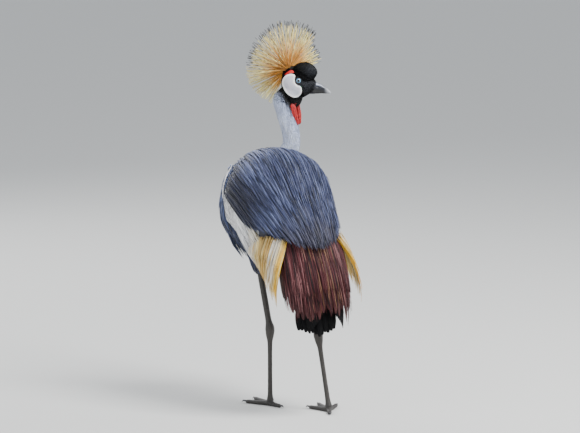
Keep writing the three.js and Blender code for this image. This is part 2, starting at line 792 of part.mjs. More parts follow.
// Breast plumes: they hang in two tiers from a bib round the front of the shoulders.
const BIB = { y: -98, wide: 140, deep: 92 };
const BIB_TIERS = [
  { count: 12, swing: [-168, -12], shape: [[556, 0.86], [520, 0.98], [470, 0.99], [440, 0.94]] },
  { count: 11, swing: [-161, -19], shape: [[530, 0.84], [496, 0.94], [440, 0.91], [376, 0.72]] },
];

function breastPlumes() {
  const random = randomStream(53);
  const made = [];
  for (const { count, swing, shape } of BIB_TIERS) {
    for (let i = 0; i < count; i++) {
      const angle = rad(lerp(...swing, i / (count - 1)));
      const stretch = 0.9 + 0.2 * random();
      const places = shape.map(([z, full], k) =>
        vec(
          BODY_X + BIB.wide * full * Math.cos(angle),
          BIB.y + BIB.deep * full * Math.sin(angle),
          k < 3 ? z : shape[2][0] + (z - shape[2][0]) * stretch,
        ),
      );
      const out = vec(Math.cos(angle) * BIB.deep, Math.sin(angle) * BIB.wide, 0).normalize();
      made.push(hangFeather(places, out, 11, "plume", 7));
    }
  }
  return made;
}

// The whole bird

const LOOKS = {
  slate: { color: 0x5d6880, roughness: 0.8 },
  pale: { color: 0xa9b2c6, roughness: 0.8 },
  white: { color: 0xe9e6dd, roughness: 0.75 },
  gold: { color: 0xd9ab4c, roughness: 0.75 },
  straw: { color: 0xe6be6a, roughness: 0.7 },
  chestnut: { color: 0x5f2c26, roughness: 0.75 },
  black: { color: 0x121214, roughness: 0.85 },
  horn: { color: 0x24262b, roughness: 0.5 },
  red: { color: 0xd4180f, roughness: 0.45 },
  eye: { color: 0x7fb4d8, roughness: 0.1 },
};
const crane = new THREE.Group();

function addPart(name, solid, look) {
  const { numVert, numProp, vertProperties, triVerts } = solid.getMesh();
  const positions = new Float32Array(numVert * 3);
  for (let i = 0; i < numVert; i++) positions.set(vertProperties.subarray(i * numProp, i * numProp + 3), i * 3);
  const geometry = new THREE.BufferGeometry();
  geometry.setAttribute("position", new THREE.BufferAttribute(positions, 3));
  geometry.setIndex(new THREE.BufferAttribute(triVerts, 1));
  geometry.computeVertexNormals();
  const part = new THREE.Mesh(geometry, new THREE.MeshStandardMaterial({ ...LOOKS[look], metalness: 0 }));
  part.name = name;
  crane.add(part);
}

const grownTorso = torso.solid(GAP);
const grownHead = headForm(GAP);
const grownNeck = neck.solid(GAP);
const grownWings = [wings.left.solid(GAP), wings.right.solid(GAP)];
const overWings = [wings.left.solid(11, [7, 8]), wings.right.solid(11, [7, 8])];
const grownEyes = [eyeSolid(1, GAP), eyeSolid(-1, GAP)];
const grownStump = stump.solid(GAP);
const flightRoom = [1, -1].map((side) => root(drape, side, INNER_ROOM, GAP));
const mantleRoom = less(dome.solid(4.6), besideLine(MANTLE_EDGE.map(([y, z]) => [y, z - GAP]), -1));

addPart("torso", torso.solid(), "slate");
addPart("neck", largest(less(neck.solid(), grownTorso, grownHead)), "pale");
addPart("head", largest(less(join([headForm(0), lidRing(1, 1.5), lidRing(-1, 1.5)]), ...grownEyes)), "black");
for (const [name, side] of Object.entries(SIDES)) {
  const lidRoom = new THREE.Matrix4().setPosition(eyeCentre(side).addScaledVector(outwards(side), 2));
  const cheek = less(plateOnHead(CHEEK, side), solidOf(new THREE.SphereGeometry(8.9, 12, 8), lidRoom), grownNeck);
  addPart(`eye_${name}`, eyeSolid(side, 0), "eye");
  addPart(`cheek_${name}`, largest(cheek), "white");
  addPart(`cheek_cap_${name}`, plateOnHead(CHEEK_CAP, side), "red");
}

const billForm = less(bill.solid(), grownHead);
addPart("bill_upper", largest(less(billForm.intersect(besideMouth(1)), nostrilSlot())), "horn");
addPart("bill_lower", largest(billForm.intersect(besideMouth(-1))), "horn");
addPart("wattle", largest(less(wattleSolid(), grownHead, grownNeck)), "red");
addPart("crest", largest(less(crestSolid(), headForm(2.2), grownNeck)), "straw");

for (const [name, side] of Object.entries(SIDES)) {
  const coverts = featherRows(wings[name], whiteRows(side), 11);
  addPart(`wing_${name}`, largest(less(join([wings[name].solid(), ...coverts]), grownTorso)), "white");
  const gold = less(join([goldBand(name), ...goldenPlumes(name)]), ...grownWings, mantleRoom);
  addPart(`golden_plumes_${name}`, largest(gold), "gold");
  const innerRoot = less(root(drape, side, INNER_ROOT), grownTorso);
  addPart(`secondaries_${name}`, largest(less(join([innerRoot, ...innerFlight(name)]), ...grownWings)), "chestnut");
  const outerRoot = less(root(drape, side, OUTER_ROOT), grownTorso, ...grownWings, grownStump);
  addPart(`primaries_${name}`, largest(less(join([outerRoot, ...outerFlight(side)]), ...grownWings)), "black");
}
addPart("tail", largest(less(tailSolid(), grownTorso)), "black");

const mantleCore = less(dome.solid(), besideLine(MANTLE_EDGE, -1), grownTorso, ...overWings, grownNeck, ...flightRoom);
const bibRoom = prism(BIB_EDGE, [Y_AXIS, Z_AXIS, X_AXIS], vec(-300, 0, 0), 600);
const backPlumes = less(join(featherRows(dome, MANTLE_ROWS, 3)), bibRoom);
const mantle = less(join([mantleCore, backPlumes]), grownNeck, ...overWings, ...flightRoom);
addPart("mantle", largest(mantle), "slate");
const bibCore = dome.solid().intersect(bibRoom);
const bib = join([less(bibCore, grownTorso, grownNeck), ...breastPlumes()]);
const aboveBib = besideLine(MANTLE_EDGE.map(([y, z]) => [y - clamp((600 - z) / 12, 0, 8), z - 2 * GAP]), 1);
addPart("breast_plumes", largest(less(bib, ...overWings, grownTorso, aboveBib)), "slate");

for (const name of Object.keys(SIDES)) {
  const thigh = thighBody(LEGS[name]);
  addPart(`thigh_${name}`, largest(less(thigh.solid(), grownTorso, ...grownWings)), "slate");
  const shank = less(legBody(LEGS[name]).solid(), thigh.solid(GAP), footSolid(name, GAP));
  addPart(`leg_${name}`, largest(shank), "horn");
  addPart(`foot_${name}`, largest(footSolid(name, 0)), "horn");
  for (const toe of Object.keys(TOES)) {
    addPart(`claw_${toe}_${name}`, largest(less(clawSolid(name, toe), toeBody(name, toe).solid(GAP))), "horn");
  }
}

// Set the bird down with its outer box's bottom centre at the origin.
const bounds = new THREE.Box3().setFromObject(crane, true);
const middle = bounds.getCenter(vec(0, 0, 0));
crane.children.forEach((part) => part.geometry.translate(-middle.x, -middle.y, -bounds.min.z));

export default crane;
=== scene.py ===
"""Looks of the grey crowned crane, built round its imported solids. Lengths are in the source's millimetres, with
the bird heading along -Y and its left side at +X, until put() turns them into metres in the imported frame."""

import math

import bpy
import numpy as np
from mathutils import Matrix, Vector
from mathutils.bvhtree import BVHTree
from mathutils.kdtree import KDTree


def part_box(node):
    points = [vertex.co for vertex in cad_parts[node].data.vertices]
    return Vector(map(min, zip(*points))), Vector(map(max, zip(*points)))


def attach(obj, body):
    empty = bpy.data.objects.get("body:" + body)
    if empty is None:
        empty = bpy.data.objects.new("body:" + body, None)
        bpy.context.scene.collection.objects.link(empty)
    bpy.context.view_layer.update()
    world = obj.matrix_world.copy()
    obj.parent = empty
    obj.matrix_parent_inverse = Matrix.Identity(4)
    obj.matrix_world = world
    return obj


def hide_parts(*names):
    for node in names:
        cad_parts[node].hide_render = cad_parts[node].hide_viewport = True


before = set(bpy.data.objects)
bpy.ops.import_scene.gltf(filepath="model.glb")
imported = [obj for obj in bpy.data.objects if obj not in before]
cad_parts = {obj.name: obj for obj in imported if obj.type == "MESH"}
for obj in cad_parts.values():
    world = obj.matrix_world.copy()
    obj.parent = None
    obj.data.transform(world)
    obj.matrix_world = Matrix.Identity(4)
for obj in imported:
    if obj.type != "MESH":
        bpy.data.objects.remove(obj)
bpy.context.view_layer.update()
random = np.random.default_rng(20)
uniform = random.uniform

# The source's named sizes

BODY_X = 6
WING_X = BODY_X + 2.5
HEAD_PLACE = np.array([-56.5, -105.0, 812.0])
HEAD_TURN = math.radians(113)
EYE_OUT = 16.4
EYE_RADIUS = 8
CREST_ROOT = (-22, 25)
CREST_PAD = (16, 14, 13)
CREST_LENGTH = 114
SIDES = {"left": 1, "right": -1}

FORWARD = np.array([-math.sin(HEAD_TURN), -math.cos(HEAD_TURN), 0.0])
UP = np.array([0.0, 0.0, 1.0])
RIGHT = np.cross(FORWARD, UP)
HEAD_WAYS = np.stack([FORWARD, UP, RIGHT])


def head_point(forward, up, right=0.0):
    forward, up, right = (np.asarray(v, float)[..., None] for v in (forward, up, right))
    return HEAD_PLACE + FORWARD * forward + UP * up + RIGHT * right


def on_axes(points):
    """How far points lie forward, up and right of the head's centre."""
    return [(points - HEAD_PLACE) @ way for way in (FORWARD, UP, RIGHT)]


eye_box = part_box("eye_left")
SHIFT = np.array((eye_box[0] + eye_box[1]) / 2) - head_point(2, 0, -EYE_OUT) / 1000
SHIFT[2] = 0


# Shapes

def unit(v):
    return v / np.maximum(np.linalg.norm(v, axis=-1, keepdims=True), 1e-9)


def mix(a, b, share):
    return a + (b - a) * share


def fade(value, low, high):
    """0 below low, 1 above high and smooth between them."""
    share = np.clip((np.asarray(value, float) - low) / (high - low), 0, 1)
    return share * share * (3 - 2 * share)


def turned(v, way):
    """Directions, turned round where they face away from another."""
    return np.where((v * way).sum(-1, keepdims=True) < 0, -v, v)


def square(v, way):
    """The part of v that lies square to a unit direction."""
    return v - way * (v * way).sum(-1, keepdims=True)


def lengths_along(line):
    """How far along a line each of its points lies."""
    return np.concatenate([[0], np.cumsum(np.linalg.norm(np.diff(line, axis=0), axis=1))])


def spline(points, count=300, even=False):
    """A Catmull-Rom curve through points, centripetal or even."""
    points = np.array(points, float)
    ends = np.vstack([2 * points[0] - points[1], points, 2 * points[-1] - points[-2]])
    place = np.linspace(0, len(points) - 1, count + 1)
    i = np.minimum(place.astype(int), len(points) - 2)
    w = (place - i)[:, None]
    p0, p1, p2, p3 = ends[i], ends[i + 1], ends[i + 2], ends[i + 3]
    if even:
        t1, t2 = (p2 - p0) / 2, (p3 - p1) / 2
    else:
        steps = ((p0, p1), (p1, p2), (p2, p3))
        gaps = [np.sqrt(np.linalg.norm(b - a, axis=1, keepdims=True)) for a, b in steps]
        d1 = np.where(gaps[1] < 1e-4, 1, gaps[1])
        d0 = np.where(gaps[0] < 1e-4, d1, gaps[0])
        d2 = np.where(gaps[2] < 1e-4, d1, gaps[2])
        t1 = ((p1 - p0) / d0 - (p2 - p0) / (d0 + d1) + (p2 - p1) / d1) * d1
        t2 = ((p2 - p1) / d1 - (p3 - p1) / (d1 + d2) + (p3 - p2) / d2) * d1
    return p1 + t1 * w + (-3 * p1 + 3 * p2 - 2 * t1 - t2) * w**2 + (2 * p1 - 2 * p2 + t1 + t2) * w**3


def ring_faces(rings, sides, first=None, last=None):
    """Faces between rings of points, and from the first and the last ring to a tip."""
    a = np.arange(sides)
    b = (a + 1) % sides
    faces = []
    for i in range(rings - 1):
        faces += (np.stack([a, b, b + sides, a + sides], 1) + i * sides).tolist()
    end = (rings - 1) * sides
    for tip, some, more in ((first, b, a), (last, a + end, b + end)):
        if tip is not None:
            faces += np.stack([np.full(sides, tip), some, more], 1).tolist()
    return faces


class Form:
    """A round form of stations [x, y, z, half width, half depth] along a curved axis."""

    def __init__(self, stations, across=(1, 0, 0)):
        stations = np.array(stations, float)
        self.axis = spline(stations[:, :3])
        self.size = np.maximum(spline(stations[:, 3:], even=True), 0.5)
        self.along = unit(np.gradient(self.axis, axis=0))
        across = np.array(across, float)
        self.wide = unit(across - self.along * (self.along @ across)[:, None])
        self.deep = unit(np.cross(self.wide, self.along))

    def at(self, table, t):
        place = np.clip(np.asarray(t, float), 0, 1) * (len(table) - 1)
        i = np.minimum(place.astype(int), len(table) - 2)
        return mix(table[i], table[i + 1], (place - i)[..., None])

    def point(self, t, degrees, lift=0):
        angle = np.radians(degrees)
        size = self.at(self.size, t)
        wide = (size[..., 0] + lift) * np.cos(angle)
        deep = (size[..., 1] + lift) * np.sin(angle)
        offset = self.at(self.wide, t) * wide[..., None] + self.at(self.deep, t) * deep[..., None]
        return self.at(self.axis, t) + offset

    def normal(self, t, degrees):
        t = np.asarray(t, float)
        along = self.point(np.minimum(t + 0.01, 1), degrees) - self.point(np.maximum(t - 0.01, 0), degrees)
        return unit(np.cross(self.point(t, degrees + 2) - self.point(t, degrees - 2), along))

    def mesh(self, rings=64, sides=48, lift=0.0):
        t = np.repeat(np.arange(1, rings) / rings, sides)
        degrees = np.tile(np.arange(sides) * 360 / sides, rings - 1)
        points = self.point(t, degrees, lift)
        tips = [self.axis[0] - self.along[0] * lift, self.axis[-1] + self.along[-1] * lift]
        faces = ring_faces(rings - 1, sides, len(points), len(points) + 1)
        return np.vstack([points, tips]), faces


def head_rows(rows):
    return [[*head_point(forward, up), wide, deep] for forward, up, wide, deep in rows]


torso = Form([
    [BODY_X, -180, 562, 0, 0], [BODY_X, -170, 559, 42, 46], [BODY_X, -146, 551, 66, 74],
    [BODY_X, -108, 533, 84, 94], [BODY_X, -60, 504, 92, 100], [BODY_X, -8, 466, 88, 96],
    [BODY_X, 42, 428, 74, 78], [BODY_X, 86, 394, 54, 52], [BODY_X, 114, 372, 36, 28], [BODY_X, 128, 361, 0, 0],
])
WING = [
    [92, -158, 552, 0, 0], [95, -150, 546, 12, 24], [98, -128, 526, 18, 44], [97, -76, 488, 25, 58],
    [91, -16, 448, 24, 60], [84, 38, 412, 22, 53], [77, 84, 390, 18, 38], [71, 112, 374, 12, 22],
    [68, 124, 366, 0, 0],
]
wings = {name: Form([[WING_X + side * x, *rest] for x, *rest in WING]) for name, side in SIDES.items()}
dome = Form([
    [BODY_X, -190, 558, 0, 0], [BODY_X, -176, 559, 76, 52], [BODY_X + 2, -142, 556, 118, 88],
    [BODY_X + 3, -98, 540, 135, 105], [BODY_X + 4, -48, 509, 130, 101], [BODY_X + 4, 6, 469, 119, 91],
    [BODY_X + 3, 60, 430, 108, 82], [BODY_X + 1, 106, 390, 94, 75], [BODY_X, 142, 352, 80, 66],
    [BODY_X, 165, 322, 0, 0],
])
MANTLE_EDGE = np.array([
    [-260, 616], [-140, 603], [-124, 596], [-119, 542], [-109, 493], [-84, 472], [-60, 461],
    [-10, 452], [80, 450], [125, 438], [170, 421], [260, 405],
], float)
drape = Form([
    [4, 40, 480, 88, 48], [2, 56, 432, 90, 71], [0, 74, 384, 90, 88], [-5, 92, 324, 88, 96],
    [-14, 104, 264, 83, 94], [-20, 114, 200, 72, 90],
])
neck = Form([
    [-2, -118, 530, 40, 42], [-8, -121, 560, 40, 42], [-24, -119, 602, 30, 32], [-41, -111, 646, 21.5, 22],
    [-41, -111, 675, 21, 21.5], [-36, -113, 702, 22.5, 21], [-27, -117, 736, 22.5, 21],
    [-21, -120, 762, 22.5, 20], [-23, -119, 778, 17, 16], [-25, -118, 788, 0, 0],
])
skull = Form(head_rows([
    [-42, -6, 0, 0], [-38, -6, 12, 17], [-24, -5, 20, 30], [-4, -10, 23.5, 36], [16, -13, 21, 31],
    [33, -15, 14.5, 20], [44, -17, 9.5, 13], [49, -18, 0, 0],
]), RIGHT)
cushion = Form(head_rows([
    [-13, 18, 0, 0], [-8, 19, 11, 12], [4, 22, 18, 22], [19, 20, 20, 26], [34, 15, 17, 22], [43, 10, 10, 13],
    [46, 8, 0, 0],
]), RIGHT)
throat = Form(head_rows([
    [-18, -12, 0, 0], [-18, -22, 18, 26], [-17, -37, 19, 32], [-13, -51, 16, 25], [-13, -64, 12, 15],
    [-14, -72, 0, 0],
]), RIGHT)
bill = Form(head_rows([
    [26, -18, 11, 17.5], [38, -20, 10, 16], [48, -21.3, 8.3, 14], [60, -24, 6.4, 11], [72, -28.7, 4.4, 6.6],
    [80, -31.8, 2.3, 3.2], [83.5, -33.3, 0, 0],
]), RIGHT)
MOUTH = np.array([[14, -20.5], [40, -22.5], [60, -26], [76, -31.6], [88, -36]])
CHEEK = [
    [-40, -6], [-35, 8], [-26, 15], [-14, 17], [-7, 14], [-7.5, 3], [-6, -6], [0, -11.5],
    [7, -14], [10.5, -22], [9, -33], [2, -41], [-9, -43], [-22, -37], [-33, -25],
]
CHEEK_CAP = [[-33, 13.5], [-26, 21], [-15, 26], [-9, 20], [-14, 18.6], [-25, 17]]

LEGS = {
    "left": dict(hip=(56, -84, 492), knee=(59, -116, 430), shin=(51, -94, 338), ankle=(44, -46, 198),
                 foot=(40, -54, 12), turn=6),
    "right": dict(hip=(-48, -30, 490), knee=(-53, -62, 424), shin=(-54, -34, 338), ankle=(-54, 30, 190),
                  foot=(-62, 80, 12), turn=-8),
}
TOES = {"inner": (33, 66), "middle": (2, 88), "outer": (-31, 72), "hind": (168, 40)}
SHIN_RADIUS, ANKLE_RADIUS, TARSUS_RADIUS, TOE_RADIUS = 7.8, 12.5, 6.2, 6

GOLD = {
    "left": dict(
        band=[[123, 6, 412], [119, 36, 430], [112, 64, 437], [101, 92, 438], [88, 113, 436], [74, 128, 431]],
        middle=[[121, 12, 396], [117, 40, 390], [114, 73, 378], [108, 109, 364], [98, 133, 356]],
        tips=[[114, 14, 378], [107, 40, 352], [104, 70, 322], [100, 96, 298], [93, 115, 280]]),
    "right": dict(
        band=[[-109, 6, 412], [-106, 36, 430], [-102, 64, 437], [-97, 93, 438], [-88, 115, 436], [-74, 131, 431]],
        middle=[[-112, 14, 394], [-113, 44, 388], [-116, 80, 378], [-119, 116, 364], [-113, 142, 356]],
        tips=[[-110, 20, 372], [-116, 52, 350], [-123, 87, 324], [-126, 121, 302], [-122, 146, 284]]),
}
BIB = dict(y=-98, wide=140, deep=92)


def thigh_form(leg):
    hip, knee, shin, ankle = (np.array(leg[key], float) for key in ("hip", "knee", "shin", "ankle"))
    end = shin + unit(ankle - shin) * 14
    rows = [(hip, 0, 0), (mix(hip, knee, 0.3), 26, 32), (knee, 28, 38), (mix(knee, shin, 0.5), 22, 28),
            (shin, 13, 14), (end, 0, 0)]
    return Form([[*place, wide, deep] for place, wide, deep in rows])


thighs = {name: thigh_form(leg) for name, leg in LEGS.items()}


# Objects

def put(points):
    """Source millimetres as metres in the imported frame."""
    return np.asarray(points, float) / 1000 + SHIFT


def show(name, data):
    thing = bpy.data.objects.new(name, data)
    bpy.context.scene.collection.objects.link(thing)
    return thing


def new_object(name, points, faces, smooth=True):
    mesh = bpy.data.meshes.new(name)
    mesh.from_pydata(put(points).tolist(), [], faces)
    mesh.update()
    if smooth:
        mesh.shade_smooth()
    return show(name, mesh)


def finish_piece(piece, material, slot, *nodes):
    piece.data.materials.clear()
    piece.data.materials.append(material)
    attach(piece, "root")
    if nodes:
        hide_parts(*nodes)
    return piece


def apply_modifiers(piece):
    graph = bpy.context.evaluated_depsgraph_get()
    mesh = bpy.data.meshes.new_from_object(piece.evaluated_get(graph))
    piece.modifiers.clear()
    old = piece.data
    piece.data = mesh
    bpy.data.meshes.remove(old)
    return piece


def fused(name, meshes, voxel, rounds=4):
    """Closed meshes fused into one smooth skin."""
    points, faces, base = [], [], 0
    for some, more in meshes:
        points.append(some)
        faces += [[v + base for v in face] for face in more]
        base += len(some)
    piece = new_object(name, np.vstack(points), faces)
    remesh = piece.modifiers.new("remesh", "REMESH")
    remesh.mode = "VOXEL"
    remesh.voxel_size = voxel / 1000
    smooth = piece.modifiers.new("smooth", "SMOOTH")
    smooth.factor = 0.5
    smooth.iterations = rounds
    apply_modifiers(piece)
    piece.data.shade_smooth()
    return piece


def vertices(piece):
    """An object's vertices in source millimetres."""
    flat = np.zeros(len(piece.data.vertices) * 3, np.float32)
    piece.data.vertices.foreach_get("co", flat)
    return (flat.reshape(-1, 3).astype(float) - SHIFT) * 1000


def move_vertices(piece, points):
    piece.data.vertices.foreach_set("co", put(points).astype(np.float32).ravel())
    piece.data.update()


def paint(piece, colours, name="tint"):
    """One linear colour for each vertex."""
    attribute = piece.data.color_attributes.new(name, "FLOAT_COLOR", "POINT")
    rgba = np.ones((len(colours), 4), np.float32)
    rgba[:, :3] = np.clip(colours, 0, 1)
    attribute.data.foreach_set("color", rgba.ravel())


def tone(red, green, blue):
    """A screen colour from 0 to 255 as a linear colour."""
    share = np.array([red, green, blue]) / 255
    return np.where(share <= 0.04045, share / 12.92, ((share + 0.055) / 1.055) ** 2.4)


def wash(colours, share, *screen):
    """Colours turned towards a screen colour, each by its own share."""
    return mix(colours, tone(*screen), np.asarray(share)[..., None])


def kd_tree(points):
    tree = KDTree(len(points))
    for k, place in enumerate(points):
        tree.insert(Vector(place), k)
    tree.balance()
    return tree


# Materials

class Surface:
    """A material, with short ways to add and link its nodes."""

    def __init__(self, name):
        self.material = bpy.data.materials.new(name)
        self.material.use_nodes = True
        self.tree = self.material.node_tree
        self.tree.nodes.clear()
        output = self.tree.nodes.new("ShaderNodeOutputMaterial")
        self.shader = self.tree.nodes.new("ShaderNodeBsdfPrincipled")
        self.tree.links.new(self.shader.outputs[0], output.inputs[0])

    def feed(self, node, inputs):
        for socket, value in inputs.items():
            if isinstance(value, (int, float, tuple)):
                node.inputs[socket].default_value = value
            else:
                self.tree.links.new(value, node.inputs[socket])
        return node

    def add(self, kind, inputs, output=0, **settings):
        node = self.tree.nodes.new("ShaderNode" + kind)
        for name, value in settings.items():
            setattr(node, name, value)
        return self.feed(node, inputs).outputs[output]

    def finish(self, inputs):
        self.feed(self.shader, inputs)
        return self.material

    def math(self, kind, a, b=0.0):
        return self.add("Math", {0: a, 1: b}, operation=kind)

    def attribute(self, name):
        return self.add("Attribute", {}, "Color", attribute_name=name)

    def place(self):
        return self.add("TexCoord", {}, "Object")

    def noise(self, scale, detail=3.0, rough=0.55, vector=None):
        inputs = {"Vector": vector or self.place(), "Scale": scale, "Detail": detail, "Roughness": rough}
        return self.add("TexNoise", inputs, "Fac")

    def cells(self, scale):
        return self.add("TexVoronoi", {"Vector": self.place(), "Scale": scale}, "Distance", feature="DISTANCE_TO_EDGE")

    def stretched(self, size):
        return self.add("Mapping", {"Vector": self.place(), "Scale": size})

    def remap(self, value, low, high, new_low, new_high):
        inputs = {"Value": value, "From Min": low, "From Max": high, "To Min": new_low, "To Max": new_high}
        return self.add("MapRange", inputs)

    def blend(self, kind, share, a, b):
        return self.add("Mix", {"Factor": share, "A": a, "B": b}, "Result", data_type="RGBA", blend_type=kind)

    def bump(self, height, strength, distance):
        return self.add("Bump", {"Strength": strength, "Distance": distance, "Height": height})


def plumage(name, rough, sheen, depth=0.16, gloss=0.3):
    """Feathers: each carries its own tint, and its barbs slant away from the shaft."""
    n = Surface(name)
    along, across, chance = n.add("SeparateColor", {0: n.attribute("vane")}, slice(3))
    side = n.math("ABSOLUTE", n.math("SUBTRACT", across, 0.5))
    slant = n.math("ADD", n.math("MULTIPLY", along, 900.0), n.math("MULTIPLY", side, 16.0))
    barbs = n.math("SINE", n.math("ADD", slant, n.math("MULTIPLY", n.noise(260, 2), 9.0)))
    shaft = n.remap(side, 0.0, 0.07, 1 - depth, 1.0)
    streak = n.remap(n.noise(90, 4, vector=n.stretched((1.0, 1.0, 0.25))), 0.3, 0.7, 1 - depth, 1 + depth)
    light = n.math("MULTIPLY", n.remap(barbs, -1, 1, 1 - depth * 0.7, 1 + depth * 0.7), shaft)
    light = n.math("MULTIPLY", light, streak)
    light = n.math("MULTIPLY", light, n.remap(chance, 0, 1, 0.86, 1.14))
    return n.finish({
        "Base Color": n.blend("MULTIPLY", 1, n.attribute("tint"), light),
        "Roughness": n.remap(n.noise(500, 2), 0, 1, rough - 0.1, rough + 0.12),
        "Sheen Weight": sheen, "Sheen Roughness": 0.4, "Specular IOR Level": gloss,
        "Normal": n.bump(barbs, 0.25, 0.0004),
    })


def painted(name, rough, scale, depth=0.12, bump=0.2, distance=0.0004, coat=0.0, subsurface=0.0, cells=0.0):
    """Skin and horn: a tint for each place, with fine mottling and relief."""
    n = Surface(name)
    mottle = n.noise(scale, 5, 0.6)
    light = n.remap(mottle, 0.3, 0.7, 1 - depth, 1 + depth)
    height = mottle
    if cells:
        edges = n.remap(n.cells(cells), 0.0, 0.16, 0.0, 1.0)
        light = n.math("MULTIPLY", light, n.remap(edges, 0, 1, 0.62, 1.05))
        height = n.math("ADD", edges, n.math("MULTIPLY", mottle, 0.3))
    return n.finish({
        "Base Color": n.blend("MULTIPLY", 1, n.attribute("tint"), light),
        "Roughness": n.remap(n.noise(scale * 0.6, 3), 0.25, 0.75, rough - 0.08, rough + 0.1),
        "Coat Weight": coat, "Coat Roughness": 0.12,
        "Subsurface Weight": subsurface, "Subsurface Radius": (0.004, 0.001, 0.0006),
        "Normal": n.bump(height, bump, distance),
    })


SOFT = plumage("soft_plumage", 0.68, 0.25)
SILK = plumage("silky_plumes", 0.5, 0.15, 0.2)
VELVET = plumage("velvet", 0.9, 0.0, 0.3, 0.1)
FLIGHT = plumage("flight_feathers", 0.55, 0.0, 0.22)
BLACK = plumage("black_feathers", 0.62, 0.0, 0.25, 0.12)
SKIN = painted("skin", 0.75, 300)
BARE = painted("bare_skin", 0.5, 420, 0.07, 0.35, 0.0003, subsurface=0.1)
FLESH = painted("wattle_skin", 0.45, 260, 0.16, 0.5, 0.0005, coat=0.1, subsurface=0.05, cells=420)
HORN = painted("horn", 0.34, 240, 0.14, 0.2, 0.0002, coat=0.2)
SCALES = painted("leg_scales", 0.5, 320, 0.15, 0.5, 0.0005, cells=300)


# Vanes

LANCE = [0.35, 0.8, 1.0, 0.97, 0.82, 0.5, 0.06]
BLADE = [0.3, 0.7, 0.9, 1.0, 1.0, 0.95, 0.78, 0.4, 0.05]
ROUND = [0.35, 0.75, 0.95, 1.0, 1.0, 1.0, 1.0, 0.98, 0.93, 0.82, 0.6, 0.2]
HAIR = [0.9, 1.0, 0.85, 0.55, 0.08]


class Coat:
    """Many thin closed feathers, gathered into one piece."""

    def __init__(self):
        self.points, self.tints, self.vanes, self.maps = [], [], [], []
        self.faces = []
        self.count = 0

    def add(self, guide, up, half, profile, tint, edge=None, camber=0.3, thick=0.5, place=None, under=0.75):
        """guide and up are feathers x steps x 3, and tint and edge colours of the shaft and of the rims."""
        number, steps = guide.shape[:2]
        if not number:
            return
        wide = np.interp(np.linspace(0, 1, steps), np.linspace(0, 1, len(profile)), profile)
        wide = (np.asarray(half, float).reshape(-1, 1) * wide[None, :])[..., None]
        along = unit(np.gradient(guide, axis=1))
        across = unit(np.cross(along, up))
        out = turned(unit(np.cross(across, along)), up)
        points = np.stack([
            guide + across * wide, guide + out * (wide * camber),
            guide - across * wide, guide + out * (wide * camber - thick),
        ], axis=2)
        edge = tint if edge is None else edge
        # The underside takes the shaft's tint times a factor: by default below 1, painted shade under each feather;
        # above 1, painted light
        tints = np.stack([edge, tint, edge, tint * under], axis=2) * np.ones((number, 1, 1, 1))
        share = np.broadcast_to(np.linspace(0, 1, steps)[None, :, None], (number, steps, 4))
        side = np.broadcast_to(np.array([0.0, 0.5, 1.0, 0.5])[None, None, :], (number, steps, 4))
        chance = np.broadcast_to(random.random((number, 1, 1)), (number, steps, 4))
        if place is None:
            low, high = guide[:, 0].min(0), guide[:, 0].max(0)
            place = ((guide[:, 0] - low) / np.maximum(high - low, 1))[:, 1:]
        spot = (0.02 + 0.96 * np.clip(place, 0, 1))[:, None, None, :]
        uv = spot + 0.003 * (np.stack([side, share], axis=-1) - 0.5)
        base = self.count + np.arange(number)[:, None, None] * steps * 4
        step = np.arange(steps - 1)[None, :, None] * 4
        corner = np.arange(4)[None, None, :]
        after = (corner + 1) % 4
        ring, following = base + step, base + step + 4
        quads = np.stack([ring + corner, ring + after, following + after, following + corner], -1)
        ends = np.stack([base[:, 0] + [3, 2, 1, 0], base[:, 0] + (steps - 1) * 4 + [0, 1, 2, 3]], 1)
        self.faces.append(np.concatenate([quads.reshape(-1, 4), ends.reshape(-1, 4)]))
        self.points.append(points.reshape(-1, 3))
        self.tints.append(tints.reshape(-1, 3))
        self.vanes.append(np.stack([share, side, chance], -1).reshape(-1, 3))
        self.maps.append(uv.reshape(-1, 2))
        self.count += number * steps * 4

    def feathers(self, guide, up, half, profile, base, shaft, rims, vary, camber, thick, **more):
        """Feathers whose shafts and rims are a base colour times a factor at the root and one at the tip."""
        tint, edge = (
            shades(*guide.shape[:2], base * root, base * tip, amount)
            for (root, tip), amount in zip((shaft, rims), vary)
        )
        self.add(guide, up, half, profile, tint, edge, camber, thick, **more)

    def piece(self, name, material, slot, *nodes):
        points = np.vstack(self.points)
        faces = np.vstack(self.faces)
        a, b, c, d = (points[faces[:, k]] for k in range(4))
        if (np.cross(c - a, d - b) * (a + b + c + d)).sum() < 0:
            faces = faces[:, ::-1]
        piece = new_object(name, points, faces.tolist())
        mesh = piece.data
        mesh.validate()
        paint(piece, np.vstack(self.tints))
        paint(piece, np.vstack(self.vanes), "vane")
        layer = mesh.uv_layers.new(name="OFBake")
        order = np.zeros(len(mesh.loops), np.int32)
        mesh.loops.foreach_get("vertex_index", order)
        layer.data.foreach_set("uv", np.vstack(self.maps)[order].astype(np.float32).ravel())
        return finish_piece(piece, material, slot, *nodes)


def spread(value, amount):
    return value + amount * (random.random(np.shape(value)) - 0.5) * 2


def lay(form, t0, angle0, t1, angle1, low, high, steps=6, curl=0.0):
    """Courses of feathers over a form, from roots to tips and from a low lift to a high one."""
    share = np.linspace(0, 1, steps + 1)[None, :]
    ends = (t0, angle0, t1, angle1, low, high)
    t0, angle0, t1, angle1, low, high = (np.asarray(v, float).reshape(-1, 1) for v in ends)
    t, angle = mix(t0, t1, share), mix(angle0, angle1, share)
    lift = mix(low, high, share) + curl * share**3
    points = form.point(t, angle, lift)
    return points, turned(form.normal(t, angle), points - form.at(form.axis, t))


def side_angle(side, degrees):
    return degrees if side > 0 else 180 - degrees


